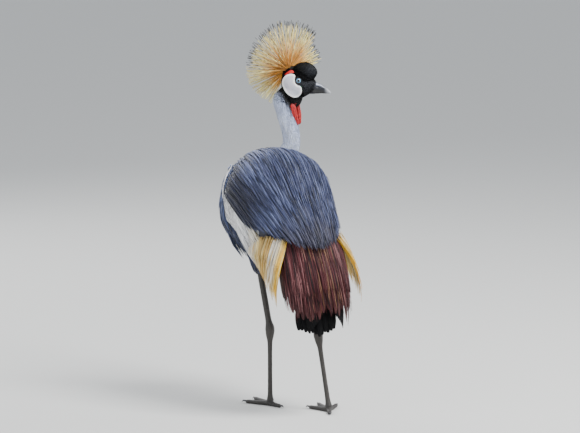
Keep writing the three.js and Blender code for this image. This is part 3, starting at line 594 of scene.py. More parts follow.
def scatter(form, t_range, angle_range, gap):
    """Even, jittered places over part of a form: shares of its length and angles round it, in rows."""
    length = lengths_along(form.axis)[-1]
    ts, angles = [], []
    rows = max(2, int((t_range[1] - t_range[0]) * length / gap))
    for i in range(rows):
        t = mix(t_range[0], t_range[1], (i + 0.5) / rows)
        reach = lengths_along(form.point(np.full(60, t), np.linspace(*angle_range, 60)))
        number = max(2, int(reach[-1] / gap))
        at = (np.arange(number) + 0.25 + 0.5 * (i % 2) + 0.3 * (random.random(number) - 0.5)) / number * reach[-1]
        angles.append(np.interp(at, reach, np.linspace(*angle_range, 60)))
        ts.append(np.full(number, t) + (random.random(number) - 0.5) * gap / length)
    return np.concatenate(ts), np.concatenate(angles)


def shades(number, steps, first, last=None, vary=0.1):
    """A colour for each feather and step, which varies between feathers and may change towards the tip."""
    first = np.asarray(first, float).reshape(-1, 1, 3)
    last = first if last is None else np.asarray(last, float).reshape(-1, 1, 3)
    share = np.linspace(0, 1, steps)[None, :, None]
    return mix(first, last, share) * (1 + vary * uniform(-1, 1, (number, 1, 1)))


def edge_height(y):
    return np.interp(y, MANTLE_EDGE[:, 0], MANTLE_EDGE[:, 1])


# Camera, floor and light

CAMERA_BACK = np.array([0.3869, 0.9116, 0.1392])
CAMERA_AIM = np.array([-18.45, -64.55, 474.1])
CAMERA_DISTANCE = 10
VIEW_WIDTH = 1.45
FLOOR_REACH = 60000


def aim(thing, place, target):
    thing.location = Vector(place)
    thing.rotation_euler = (Vector(target) - Vector(place)).to_track_quat("-Z", "Y").to_euler()


target = put(CAMERA_AIM)
camera_data = bpy.data.cameras.new("camera")
camera_data.sensor_width = 36
camera_data.lens = camera_data.sensor_width * CAMERA_DISTANCE / VIEW_WIDTH
camera_data.clip_end = 100
camera = show("camera", camera_data)
aim(camera, target + CAMERA_BACK * CAMERA_DISTANCE, target)
bpy.context.scene.camera = camera

corners = [[FLOOR_REACH * x, FLOOR_REACH * y, 0] for x, y in ((-1, -1), (1, -1), (1, 1), (-1, 1))]
floor = new_object("floor", corners, [[0, 1, 2, 3]], False)
floor.location.z = -0.0002
paper = Surface("floor")
floor.data.materials.append(paper.finish({"Base Color": (0.66, 0.66, 0.64, 1), "Roughness": 0.8}))

world = bpy.data.worlds.new("world")
world.use_nodes = True
for socket, value in enumerate(((0.86, 0.9, 0.96, 1), 0.85)):
    world.node_tree.nodes["Background"].inputs[socket].default_value = value
bpy.context.scene.world = world
for name, place, size, power in (
    ("key", (-1.2, 1.7, 3.2), 1.3, 190), ("fill", (3.2, 1.0, 1.6), 2.4, 30),
    ("side", (-3.0, 0.2, 1.8), 2.0, 34), ("front", (0.4, -3.2, 2.4), 2.0, 70),
):
    lamp = bpy.data.lights.new(name, "AREA")
    lamp.size = size
    lamp.energy = power
    aim(show(name, lamp), place, (0, 0, 0.55))


# Skin: it lies under the feathers, by CORE_DROP on the back, and ends above the back's lower edge

CORE_DROP = 11
CORE_ABOVE_EDGE = 8
SKIN_VOXEL = 2.6

FLANK = np.array([
    [380, -40], [420, -62], [452, -76], [472, -88], [493, -102], [542, -111],
    [596, -116], [616, -118], [624, -190], [640, -400],
], float)


def flank_line(z, known=6):
    """Where the breast's plumes end and the white coverts begin, as y at a height."""
    return np.interp(z, *FLANK[:known].T)


def dome_core():
    points, faces = dome.mesh(70, 64, -CORE_DROP)
    points[:, 2] = np.maximum(points[:, 2], edge_height(points[:, 1]) + CORE_ABOVE_EDGE)
    return points, faces


bib_core = Form([
    [-24, -119, 634, 0, 0], [-22, -120, 628, 20, 26], [-12, -122, 610, 40, 38], [0, -119, 590, 88, 56],
    [BODY_X, -114, 560, 126, 68], [BODY_X, -112, 520, 139, 72], [BODY_X, -112, 470, 137, 72],
    [BODY_X, -108, 430, 116, 66], [BODY_X, -100, 398, 84, 52], [BODY_X, -92, 384, 50, 30], [BODY_X, -90, 380, 0, 0],
])
pad_form = Form([
    [*head_point(CREST_ROOT[0] + f, CREST_ROOT[1]), w, d] for f, w, d in
    ((-16, 0, 0), (-14, 6, 7), (-8, 11, 12), (0, 13, 14), (8, 11, 12), (14, 6, 7), (16, 0, 0))
], RIGHT)


def markings(points):
    """The skin's colours, which the feathers over it carry as well."""
    x, y, z = points.T
    colours = wash(tone(70, 74, 86), fade(z, 470, 400), 64, 62, 66)
    colours = wash(colours, fade(y, 20, 80) * fade(z, 470, 420), 52, 26, 22)
    flank = flank_line(z)
    bright = fade(y, flank - 2, flank + 6) * fade(z, 396, 408) * fade(np.abs(x - BODY_X), 60, 76)
    bright = bright * (y < 40) * (z < np.where(y < flank + 20, 590, edge_height(y) + 10))
    colours = wash(colours, bright, 206, 206, 208)
    near_neck = (fade(z, 560, 600) * fade(y, -60, -90))[:, None]
    return mix(colours, neck_colour(points), near_neck)


def neck_colour(points):
    """Pale blue-grey below, and black on the upper throat and nape, along a slanting edge."""
    x, y, z = points.T
    towards = on_axes(points)[0]
    height = z + 1.5 * towards + 5 * np.sin(x * 0.7 + y * 0.4)
    pale = wash(tone(140, 152, 186), fade(z, 560, 660), 212, 220, 242)
    pale = wash(pale, fade(height, 640, 700) * 0.6, 150, 164, 200)
    return wash(pale, np.maximum(fade(height, 692, 722), fade(z, 778, 790)), 3, 3, 4)


parts = [
    torso.mesh(60, 48, -2), neck.mesh(110, 48), skull.mesh(50, 48), cushion.mesh(40, 40, -2), throat.mesh(40, 40),
    dome_core(), bib_core.mesh(50, 64), pad_form.mesh(24, 32, -1),
    *(thigh.mesh(40, 36, -2) for thigh in thighs.values()), *(wing.mesh(60, 36, -4) for wing in wings.values()),
]
skin = fused("skin", parts, SKIN_VOXEL, 5)
skin_points = vertices(skin)
paint(skin, markings(skin_points))
finish_piece(skin, SKIN, "slate_plumage", "torso", "neck", "head",
             "thigh_left", "thigh_right", "wing_left", "wing_right")
skin_tree = BVHTree.FromObject(skin, bpy.context.evaluated_depsgraph_get())


def skin_at(points):
    """The nearest places on the skin and the directions out of it there."""
    places, ways, _, _ = zip(*(skin_tree.find_nearest(Vector(point)) for point in put(points)))
    return (np.array(places) - SHIFT) * 1000, np.array(ways)


def pelt(coat, number, wanted, flow, length, half, lifts, colours, profile=LANCE, camber=0.3, steps=7):
    """Feathers rooted all over a region of the skin, which lie along it as they go."""
    mesh = skin.data
    mesh.calc_loop_triangles()
    corners = np.zeros(len(mesh.loop_triangles) * 3, np.int32)
    mesh.loop_triangles.foreach_get("vertices", corners)
    a, b, c = (skin_points[corners.reshape(-1, 3)[:, k]] for k in range(3))
    area = np.linalg.norm(np.cross(b - a, c - a), axis=1) * wanted((a + b + c) / 3)
    pick = random.choice(len(area), number, p=area / area.sum())
    u, v = random.random((2, number, 1))
    u, v = np.where(u + v > 1, 1 - u, u), np.where(u + v > 1, 1 - v, v)
    place, way = skin_at(a[pick] + (b - a)[pick] * u + (c - a)[pick] * v)
    length = length * uniform(0.8, 1.2, number)
    places, ways = [place], [way]
    for _ in range(steps - 1):
        lie = unit(square(flow(place), way))
        place, way = skin_at(place + lie * (length / (steps - 1))[:, None])
        places.append(place)
        ways.append(way)
    guide, up = np.stack(places, 1), np.stack(ways, 1)
    share = np.linspace(0, 1, steps)[None, :, None]
    low, high = lifts
    guide = guide + up * mix(low, uniform(0.4, 1, (number, 1, 1)) * high, share**0.8)
    base = colours(guide[:, steps // 2])
    coat.feathers(guide, up, half * uniform(0.8, 1.2, number), profile, base, (0.62, 0.9), (1.2, 1.8),
                  (0.22, 0.2), camber, 0.45)


# Back

# Each layer: its start and stop along the back, gap, lift of the roots and of the tips, and half width
BACK_LAYERS = ((0.075, 0.82, 7.0, -8, 1, 4.3), (0.085, 0.74, 8.4, -2, 4.5, 3.1))
BACK_FRONT = np.array([[472, -84], [493, -98], [542, -108], [596, -114]], float)
SHOULDER_TOP = 598

back = Coat()
for start, stop, gap, low, high, wide in BACK_LAYERS:
    t, angle = scatter(dome, (start, stop), (-8, 188), gap)
    x, y, z = dome.point(t, angle).T
    keep = (z > edge_height(y) + 8) & ((y > np.interp(z, *BACK_FRONT.T)) | (z > SHOULDER_TOP))
    t, angle = t[keep], angle[keep]
    n = len(t)
    drift = mix(0, 22, t) * np.where(angle < 90, 1, -1) * np.abs(np.cos(np.radians(angle)))
    length = uniform(0.15, 0.23, n)
    guide, up = lay(dome, t, angle, np.minimum(t + length, uniform(0.84, 0.9, n)), spread(angle + drift, 2.2),
                    spread(np.full(n, low), 1), uniform(high - 3, high + 1, n), 7)
    above = guide[:, -1, 2] > edge_height(guide[:, -1, 1]) + 4
    guide, up = guide[above], up[above]
    n = len(guide)
    x, y, z = guide[:, 3].T
    bright = np.clip(fade(y, -50, -150) * 0.6 + 0.55 * random.random(n)**2, 0, 1)
    # Low on the left side towards the front, the plumes are painted darker and bluer, with less pale rims: painted
    # shade
    painted_shade_patch = fade(x, 58, 100) * fade(y, 30, -30) * fade(z, 600, 560)
    base = wash(wash(tone(38, 44, 74), bright, 112, 122, 160), painted_shade_patch * 0.9, 20, 22, 46)
    base = wash(base, fade(y, 50, 120) * 0.65, 52, 48, 56)
    base = base * np.where(random.random((n, 1)) < 0.22, 0.45, 1)
    tint, edge = shades(n, 8, base * 0.6, base * 0.9, 0.25), shades(n, 8, base * 1.3, base, 0.2)
    pale_rim = mix(2.1, 1.3, painted_shade_patch)[:, None, None]
    edge = edge * mix(1, pale_rim, np.linspace(0, 1, 8)[None, :, None])
    back.add(guide, up, wide * uniform(0.8, 1.15, n), LANCE, tint, edge, 0.36, 0.5)
back.piece("back_plumes", SILK, "slate_plumage", "mantle")


# Breast, flanks and belly

def bib_point(degrees, z, scale):
    cosine, sine = np.cos(np.radians(degrees)), np.sin(np.radians(degrees))
    deep = BIB["deep"] * scale * np.abs(sine) * np.where(sine > 0, -0.55, 1)
    return np.stack([BODY_X + BIB["wide"] * scale * cosine, BIB["y"] - deep, z], -1)


def breast_region(points):
    x, y, z = points.T
    neck_base = (z > 596) & (np.hypot(x + 20, y + 118) < 62)
    return ((y < flank_line(z, len(FLANK)) + 3) | neck_base) & (z > 376) & (z < 640)


def breast_flow(points):
    x, y, z = points.T
    out = np.stack([x - BODY_X, (y + 100) * 0.6, np.zeros_like(x)], -1)
    return unit(np.array([0, 0.12, -1]) + unit(out) * 0.5 * fade(z, 560, 620)[:, None])


def breast_colour(points):
    z = points[:, 2]
    base = wash(wash(tone(96, 108, 144), fade(z, 570, 430), 48, 55, 82), fade(z, 570, 620) * 0.8, 146, 158, 190)
    return base * np.where(random.random((len(points), 1)) < 0.25, 0.5, 1)


BREAST_DOWN, BREAST_ROWS, ROW_FEATHERS = 3400, 12, 54
BREAST_SWELL = np.array([
    [340, 0.48], [368, 0.6], [400, 0.78], [440, 0.91], [470, 0.975], [520, 0.97], [556, 0.86], [580, 0.68], [606, 0.44],
])

down = Coat()
pelt(down, BREAST_DOWN, breast_region, breast_flow, 46, 3.6, (-2, 5.5), breast_colour)
down.piece("breast_down", SOFT, "slate_plumage")
breast = Coat()
for row in range(BREAST_ROWS):
    lower = row / (BREAST_ROWS - 1)
    swing = spread(np.linspace(-170, -10, ROW_FEATHERS) + 1.5 * (row % 2), 1.4)
    z0 = spread(np.full(ROW_FEATHERS, mix(520, 428, lower)), 4)
    drop = uniform(62, 92, ROW_FEATHERS) * mix(1.0, 0.72, lower)
    share = np.linspace(0, 1, 8)[None, :]
    z = z0[:, None] - drop[:, None] * share
    scale = np.interp(z, *BREAST_SWELL.T) + 0.035 * (share - 0.75) + uniform(-0.01, 0.012, (ROW_FEATHERS, 1))
    drift = (random.random((ROW_FEATHERS, 1)) - 0.5) * 5 * share
    guide = bib_point(swing[:, None] + drift, z, scale)
    highest = np.interp(guide[:, 0, 1], [-150, -130, -120, -80, -20], [600, 596, 548, 470, 452]) + 4
    guide = guide[guide[:, 0, 2] < highest]
    up = unit((guide - [BODY_X, BIB["y"], 0]) * [1, 1, 0] + [0, 0, 0.001])
    base = breast_colour(guide[:, 3])
    breast.feathers(guide, up, uniform(3.6, 5.4, len(guide)), LANCE, base, (0.8, 1), (1.3, 2.1), (0.2, 0.2), 0.3, 0.5)
for form, t_range, angles, gap, reach, dull in (
    (torso, (0.1, 0.9), (-178, -2), 11, 0.14, 1.0),
    (thighs["left"], (0.12, 0.93), (0, 360), 6.5, 0.17, 0.9), (thighs["right"], (0.12, 0.93), (0, 360), 6.5, 0.17, 0.9),
):
    t, angle = scatter(form, t_range, angles, gap)
    n = len(t)
    end = np.minimum(t + reach * uniform(0.8, 1.2, n), 0.99)
    guide, up = lay(form, t, angle, end, spread(angle, 5), -3, uniform(0.5, 3.5, n), 6)
    base = wash(tone(70, 76, 98), fade(guide[:, 3, 2], 480, 360), 36, 37, 46) * dull
    breast.feathers(guide, up, uniform(2.6, 4.2, n), LANCE, base, (0.75, 1), (1.2, 1.5), (0.18, 0.18), 0.3, 0.45)
breast.piece("breast_and_flank_plumes", SOFT, "slate_plumage", "breast_plumes")


# White wing coverts, and the thin white line along the front edge of the back

def white_region(points):
    x, y, z = points.T
    line = flank_line(z)
    top = np.where(y < line + 24, 592, edge_height(y) + 16)
    return (y > line - 2) & (y < line + 66) & (z > 400) & (z < top) & (np.abs(x - BODY_X) > 60)


WHITE_DOWN, LINE_FEATHERS, GRID = 1300, 64, 240

white = Coat()
pelt(white, WHITE_DOWN, white_region, lambda points: unit(np.array([0, 0.55, -0.8])), 40, 4.2, (-1.5, 3.5),
     lambda points: tone(216, 216, 218), BLADE, 0.22)
for name, side in SIDES.items():
    wing = wings[name]
    t, angle = scatter(wing, (0.1, 0.64), (-108, 34), 6.8)
    angle = side_angle(side, angle)
    _, y, z = wing.point(t, angle).T
    keep = y > np.interp(z, [400, 472, 493, 542], [-84, -98, -112, -121]) + 4
    t, angle = t[keep], angle[keep]
    n = len(t)
    guide, up = lay(wing, t, angle, t + uniform(0.15, 0.22, n), spread(angle - side * 3, 2), -4, uniform(1, 5.5, n), 7)
    base = wash(tone(240, 240, 240), fade(guide[:, 4, 1], -30, 40) * 0.55, 232, 206, 138)
    base = wash(base, (random.random(n) < 0.12) * 0.4, 150, 152, 156)
    white.feathers(guide, up, uniform(4.2, 6.2, n), BLADE, base, (0.8, 1), (0.95, 1.08), (0.06, 0.05), 0.22, 0.5)
    grid_t, grid_angle = np.meshgrid(np.linspace(0.01, 0.5, GRID), np.linspace(-80, 80, GRID))
    grid_t, grid_angle = grid_t.ravel(), side_angle(side, grid_angle.ravel())
    tree = kd_tree(dome.point(grid_t, grid_angle) * [0, 1, 1])
    z = uniform(492, 604, (LINE_FEATHERS, 1)) - 40 * np.linspace(0, 1, 9)[None, :]
    y = np.interp(z, [440, 472, 493, 542, 596, 603], [-60, -80, -97, -108, -113, -122])
    y = y + uniform(-1.6, 1.6, (LINE_FEATHERS, 1))
    found = np.array([[tree.find(Vector((0, b, c)))[1] for b, c in zip(*pair)] for pair in zip(y, z)])
    guide = dome.point(grid_t[found], grid_angle[found], uniform(0.5, 3.5, (LINE_FEATHERS, 1)))
    up = turned(dome.normal(grid_t[found], grid_angle[found]), [side, 0, 0])
    white.feathers(guide, up, uniform(2.0, 2.8, LINE_FEATHERS), LANCE, tone(236, 236, 240), (0.85, 0.9), (1, 1.08),
                   (0.05, 0.05), 0.4, 0.6)
white.piece("white_coverts", SOFT, "white_plumage")


# Golden plumes over the inner flight feathers

def grid_course(rows, u, v):
    """Places on the surface through rows of points: a share u of the way along a row, and v of the way down."""
    curves = np.stack([spline(row, 200) for row in rows])
    place = np.clip(u, 0, 1) * 200
    i = np.minimum(place.astype(int), 199)
    first, second, third = mix(curves[:, i], curves[:, i + 1], (place - i)[None, ..., None])
    down = (np.clip(v, -0.12, 1.15) * (len(rows) - 1))[..., None]
    # A parabola through the three rows
    a = (third - 2 * second + first) / 2
    b = second - first - a
    return first + b * down + a * down**2


# Each layer: its number of plumes, the roots' and the tips' shares of the way down, and lift
GOLD_LAYERS = (
    (120, (-0.06, 0.2), (0.72, 1.04), -1.5), (120, (-0.1, 0.12), (0.5, 0.82), 1.0), (100, (-0.12, 0.0), (0.3, 0.56), 3.5),
)

for name, side in SIDES.items():
    gold = Coat()
    rows = [GOLD[name][key] for key in ("band", "middle", "tips")]
    for layer, (number, top, bottom, lift) in enumerate(GOLD_LAYERS):
        u = spread((np.arange(number) + 0.5) / number, 0.012)
        share = np.linspace(0, 1, 10)[None, :]
        v = mix(uniform(*top, (number, 1)), uniform(*bottom, (number, 1)), share)
        wander = u[:, None] + (random.random((number, 1)) - 0.5) * 0.05 * share
        guide = grid_course(rows, wander, v)
        before = grid_course(rows, wander + 0.02, v) - grid_course(rows, wander - 0.02, v)
        up = turned(unit(np.cross(before, np.gradient(guide, axis=1))), [side, 0, 0])
        guide = guide + up * (lift + uniform(-1, 1, (number, 1, 1)) - 5 * (1 - share[..., None]))
        base = wash(tone(216, 168, 74), random.random(number), 250, 224, 150)
        base = wash(base, (random.random(number) < 0.12) * 0.55, 128, 78, 42)
        pale = np.maximum(fade(u, 0.4, 0.1) * 0.75, fade(u, 0.6, 0.68) * fade(u, 0.88, 0.82) * (layer > 0) * 0.85)
        base = wash(base, pale * (random.random(number) < 0.8), 246, 240, 226)
        base = wash(base, fade(u, 0.86, 0.92) * (random.random(number) < 0.75), 252, 196, 60)
        # Undersides painted lighter than the shafts: painted light on their shaded undersides
        gold.feathers(guide, up, uniform(1.5, 3.4, number), LANCE, base, (0.8, 0.9), (1, 1.15), (0.12, 0.12),
                      0.3, 0.45, under=1.15)
    gold.piece(f"golden_plumes_{name}_fine", SILK, "golden_plumage", f"golden_plumes_{name}")


# Maroon inner flight feathers

# Each layer: its number of blades, the angles of roots and tips, their lifts, half width and where the blades end
MAROON_LAYERS = (
    (9, (42, 92), (6, 93), -4, -2, 14.5, (0.74, 0.9)), (10, (42, 92), (12, 94), -1, 1, 12.5, (0.68, 0.87)),
    (9, (42, 92), (20, 93), 2, 4, 12.5, (0.6, 0.78)), (8, (42, 90), (28, 92), 5, 7, 11.5, (0.48, 0.66)),
)
BARBS_PER_BLADE = 26
MAROON_BLADE = [0.3, 0.55, 0.7, 0.85, 0.95, 1, 1, 1, 0.97, 0.92, 0.84, 0.7, 0.5, 0.12]
DRAPE_TOP = 0.12


def drape_end(degrees, longest):
    """How far down the drape feathers reach: less far at its outer side."""
    return longest + np.interp(degrees, [0, 20, 45, 90, 180], [-0.27, -0.08, 0.0, 0.0, 0.07])


for name, side in SIDES.items():
    maroon = Coat()
    for number, roots, tips, low, high, half, ends in MAROON_LAYERS:
        share = (np.arange(number) + 0.5) / number
        a0 = side_angle(side, mix(*roots, share))
        a1 = side_angle(side, spread(mix(*tips, share), 2.5))
        shorter = random.random(number) * (ends[1] - ends[0]) * 0.7
        end = np.minimum(drape_end(a1, ends[1]) - shorter, 0.985)
        guide, up = lay(drape, DRAPE_TOP, a0, end, spread(a1, 1), low, high, 26)
        base = mix(tone(50, 21, 26), tone(82, 38, 40), random.random((number, 1)))
        tint = shades(number, 27, base * 0.7, base * 0.85, 0.1)
        rim = shades(number, 27, mix(base, tone(140, 84, 66), 0.35), mix(base, tone(112, 56, 50), 0.35), 0.1)
        maroon.add(guide, up, half * uniform(0.75, 1.1, number), MAROON_BLADE, tint, rim, 0.2, 0.6)
        # Loose barbs and plumes over each blade
        many = number * BARBS_PER_BLADE
        share = random.random(many)
        a0 = side_angle(side, mix(roots[0] - 2, roots[1], share))
        a1 = side_angle(side, mix(tips[0] - 2, tips[1], share))
        start = uniform(DRAPE_TOP, 0.5, many)
        reach = uniform(0.2, 0.42, many)
        stop = drape_end(a1, ends[1] + 0.02)
        start = np.minimum(start, stop - 0.12)
        end = np.minimum(np.minimum(start + reach, stop), 0.99)
        along0, along1 = ((t - DRAPE_TOP) / 0.75 for t in (start, end))
        guide, up = lay(drape, start, mix(a0, a1, along0), end, spread(mix(a0, a1, along1), 1.5), high + 1.0,
                        uniform(high + 1.5, high + 3.5, many), 8)
        lot = random.random((many, 1))
        base = mix(tone(54, 20, 27), tone(96, 45, 48), lot)
        streaks = wash(tone(150, 104, 104), fade(share, 0.45, 0.7), 140, 108, 76)
        base = mix(base, streaks, (lot > 0.8) * 0.65)
        base = mix(base, tone(20, 9, 12), (lot < 0.28) * 0.8)
        maroon.feathers(guide, up, uniform(0.9, 2.2, many), LANCE, base, (0.8, 1), (1.1, 1.3), (0.15, 0.15), 0.3, 0.4)
    maroon.piece(f"inner_flight_{name}", FLIGHT, "chestnut_plumage", f"secondaries_{name}")


# Black outer flight feathers and tail

for name, side in SIDES.items():
    outer = Coat()
    share = (np.arange(7) + 0.5) / 7
    guide, up = lay(drape, 0.4, side_angle(side, mix(46, 72, share)), mix(0.97, 0.86, share),
                    side_angle(side, mix(40, 72, share)), mix(-15, -13.5, share), mix(-14, -12.5, share), 14)
    outer.feathers(guide, up, 13, ROUND, tone(9, 9, 11), (1, 1), (1.6, 1.4), (0.1, 0.1), 0.18, 0.6)
    outer.piece(f"outer_flight_{name}", BLACK, "black_plumage", f"primaries_{name}")

tail = Coat()
number = 12
share = np.linspace(-1, 1, number)
root = np.stack([6 + 14 * share, np.full(number, 120), np.full(number, 358)], -1)[:, None]
middle = np.stack([6 + 32 * share, 146 - 4 * np.abs(share), np.full(number, 300)], -1)[:, None]
tip = np.stack([2 + 48 * share, 160 - 10 * np.abs(share), 208 + 14 * np.abs(share)], -1)[:, None]
tip[:, 0, 2] += uniform(-5, 5, number)
s = np.linspace(0, 1, 27)[None, :, None] ** 0.8
guide = (1 - s)**2 * root + 2 * s * (1 - s) * (2 * middle - (root + tip) / 2) + s**2 * tip
guide[..., 1] += ((np.arange(number) % 2) * 1.6)[:, None]
up = np.zeros_like(guide) + unit(np.array([0, 1, 0.35]))
tail.feathers(guide, up, 14.5, ROUND, tone(8, 8, 10), (1, 1), (2.4, 1.8), (0.1, 0.1), 0.18, 0.6)
tail.piece("tail_feathers", BLACK, "black_plumage", "tail")


# Neck

plush = Coat()
t, angle = scatter(neck, (0.06, 0.985), (-180, 180), 3.3)
n = len(t)
low_down = fade(t, 0.4, 0.1)
reach = mix(0.045, 0.075, low_down) * uniform(0.8, 1.25, n)
guide, up = lay(neck, t, angle, t - reach, spread(angle, 5), -1.2, uniform(0.3, 2.0, n), 5)
plush.feathers(guide, up, mix(1.1, 1.9, low_down) * uniform(0.8, 1.2, n), LANCE, neck_colour(guide[:, 2]),
               (0.62, 0.85), (1, 1.3), (0.28, 0.25), 0.3, 0.35)
plush.piece("neck_plumes", SOFT, "pale_plumage")


# Face

def inside(outline, points):
    """Which points (forward, up) lie inside a closed outline."""
    outline = np.asarray(outline, float)
    x, y = points.T
    hit = np.zeros(len(points), bool)
    for (x0, y0), (x1, y1) in zip(outline, np.roll(outline, -1, axis=0)):
        crosses = (y0 > y) != (y1 > y)
        with np.errstate(divide="ignore", invalid="ignore"):
            hit ^= crosses & (x < (x1 - x0) * (y - y0) / (y1 - y0) + x0)
    return hit


def closed_curve(points, count):
    points = np.array(points, float)
    looped = np.vstack([points[-3:], points, points[:3]])
    curve = spline(looped, (len(looped) - 1) * 40)[3 * 40:(3 + len(points)) * 40]
    curve = np.vstack([curve, curve[:1]])
    reach = lengths_along(curve)
    at = np.arange(count) / count * reach[-1]
    return np.stack([np.interp(at, reach, curve[:, k]) for k in range(2)], -1)


def on_head(forward, up, side, lift):
    """Places on the side of the head, met from outside, and lifted from its skin."""
    way = Vector(-side * RIGHT)
    places = []
    for f, u, raised in zip(forward, up, lift):
        start = put(head_point(f, u, -side * 60)).tolist()
        place = skin_tree.ray_cast(Vector(start), -way)[0]
        if place is None:
            place = Vector(put(head_point(f, u, -side * 8)).tolist())
        places.append(np.array(place + way * (raised / 1000)))
    return (np.array(places) - SHIFT) * 1000


def wrinkles(forward, up):
    return (np.sin(forward * 1.1 + 2 * np.sin(up * 0.35)) * np.sin(up * 0.9 + 1.5 * np.sin(forward * 0.4))
            + 0.5 * np.sin(forward * 2.3 - up * 1.7))


def bare_patch(name, outline, centre, side, thick, tint, rim, slot, node):
    around, rings = 144, 26
    rim_points = closed_curve(outline, around)
    share = 1 - (1 - np.arange(1, rings + 1) / rings)**1.25
    grid = centre + (rim_points[None] - centre) * share[:, None, None]
    forward, up = grid.reshape(-1, 2).T
    r = np.repeat(share, around)
    lift = thick * np.sqrt(np.clip(1 - r**10, 0, 1)) - 0.8 * (r > 0.995)
    lift += 0.45 * np.exp(-((r - 0.9) / 0.07)**2) + 0.26 * wrinkles(forward, up) * (1 - r**6)
    points = on_head(np.append(forward, centre[0]), np.append(up, centre[1]), side, np.append(lift, thick))
    faces = ring_faces(rings, around, len(points) - 1)
    piece = new_object(name, points, [face[::-1] for face in faces] if side > 0 else faces)
    smooth = piece.modifiers.new("smooth", "SMOOTH")
    smooth.iterations = 2
    shell = piece.modifiers.new("shell", "SOLIDIFY")
    shell.thickness = 0.0012
    shell.offset = -1
    apply_modifiers(piece)
    f, u, _ = on_axes(vertices(piece))
    edge = np.min(np.linalg.norm(np.stack([f, u], -1)[:, None] - rim_points[None, ::2], axis=-1), axis=1)
    # The inside is painted in the darker tint, lighter towards the raised rim, and the wrinkles darken and lighten the
    # colour: painted shade, with painted light on the wrinkles' ridges
    paint(piece, mix(rim, tint, fade(edge, 1, 7)[:, None]) * (1 + 0.07 * wrinkles(f, u))[:, None])
    return finish_piece(piece, BARE, slot, node)


for name, side in SIDES.items():
    # Each patch is painted darker inside than at its rim: painted shade
    bare_patch(f"bare_cheek_{name}", CHEEK, np.array([-16, -20]), side, 1.7, tone(200, 199, 210), tone(255, 255, 255),
               "white_cheek", f"cheek_{name}")
    bare_patch(f"red_cap_{name}", CHEEK_CAP, np.array([-18, 20.4]), side, 1.9, tone(176, 2, 1), tone(206, 5, 2),
               "red_skin", f"cheek_cap_{name}")


def ball(centre, radius, out, rings=48, sides=64):
    """A sphere whose pole looks out, and the angle of each point from that pole."""
    polar = np.repeat(np.arange(1, rings) / rings * np.pi, sides)
    turn = np.tile(np.arange(sides) / sides * 2 * np.pi, rings - 1)
    first = unit(np.cross(out, UP))
    second = np.cross(out, first)
    polar, turn = np.append(polar, [0, np.pi])[:, None], np.append(turn, [0, 0])[:, None]
    bulge = radius * (1 + 0.07 * np.exp(-(polar / 0.5)**2))
    points = centre + bulge * (np.cos(polar) * out + np.sin(polar) * (np.cos(turn) * first + np.sin(turn) * second))
    faces = [face[:1] + face[:0:-1] for face in ring_faces(rings - 1, sides, len(points) - 2, len(points) - 1)]
    return points, faces, polar[:, 0], turn[:, 0]


eye_material = painted("eye", 0.12, 900, 0.05, 0.02, 0.0001, coat=1.0)
for name, side in SIDES.items():
    out = -side * RIGHT
    centre = head_point(2, 0, -side * EYE_OUT)
    points, faces, polar, turn = ball(centre, EYE_RADIUS, out, 72, 120)
    degrees = np.degrees(polar)
    streaks = 0.5 + 0.3 * np.sin(turn * 36 + 3 * np.sin(turn * 7)) * np.sin(degrees * 0.35) + 0.2 * np.sin(turn * 59)
    iris = wash(tone(64, 140, 196), np.clip(streaks, 0, 1), 142, 200, 228)
    iris = wash(iris, fade(degrees, 37, 45), 30, 70, 112)
    colours = mix(tone(6, 6, 8), iris, fade(degrees, 24.5, 26.5)[:, None])
    eye = new_object(f"eyeball_{name}", points, faces)
    paint(eye, wash(colours, fade(degrees, 45, 49), 16, 16, 18))
    finish_piece(eye, eye_material, "eye", f"eye_{name}")

    # Lids: a soft ring, folded all round
    around, section = 96, 20
    a = np.repeat(np.arange(around) / around * 2 * np.pi, section)
    b = np.tile(np.arange(section) / section * 2 * np.pi, around)
    tube = 1.45 + 0.12 * np.sin(a * 22) * np.maximum(np.cos(b), 0)
    reach, height = 6.5 + tube * np.cos(b), 4.75 + tube * np.sin(b) * 0.9
    points = centre + np.stack([height, reach * np.cos(a) * 1.04, reach * np.sin(a) * 0.92], -1) @ [out, FORWARD, UP]
    ring = np.arange(around)[:, None] * section
    next_ring = (ring + section) % (around * section)
    k = np.arange(section)[None, :]
    after = (k + 1) % section
    faces = np.stack([ring + k, next_ring + k, next_ring + after, ring + after], -1).reshape(-1, 4)
    lids = new_object(f"lids_{name}", points, faces[:, ::-side].tolist())
    paint(lids, np.tile(tone(6, 6, 8), (len(points), 1)))
    finish_piece(lids, BARE, "black_plumage")


# Bill

BILL_AXIS = np.array([[26, -18], [38, -20], [48, -21.3], [60, -24], [72, -28.7], [80, -31.8], [83.5, -33.3]])

points, faces = bill.mesh(170, 110)
f, u, r = on_axes(points)
centre_u = np.interp(f, *BILL_AXIS.T)
inward = -unit(RIGHT[None] * r[:, None] + UP[None] * (u - centre_u)[:, None])
size = np.interp(f, [26, 60, 78, 83.5], [1, 0.8, 0.35, 0.0])
mouth = np.interp(f, *MOUTH.T)
groove = np.exp(-((u - mouth) / (0.75 * np.maximum(size, 0.2)))**2) * 0.9 * size
nostril_u = -16.4 - 0.25 * (f - 51)
nostril = np.exp(-(((f - 51) / 5.4)**2 + ((u - nostril_u) / 1.7)**2)**2) * 2.6
shallow = np.exp(-(((f - 52) / 11)**2 + ((u + 16.6) / 3.4)**2)) * 0.8
grain = 0.06 * np.sin(f * 1.9 + 2 * np.sin(u * 1.3)) + 0.04 * np.sin(f * 4.7 + u * 3)
beak = new_object("bill", points + inward * (groove + nostril + shallow + grain * size)[:, None], faces)
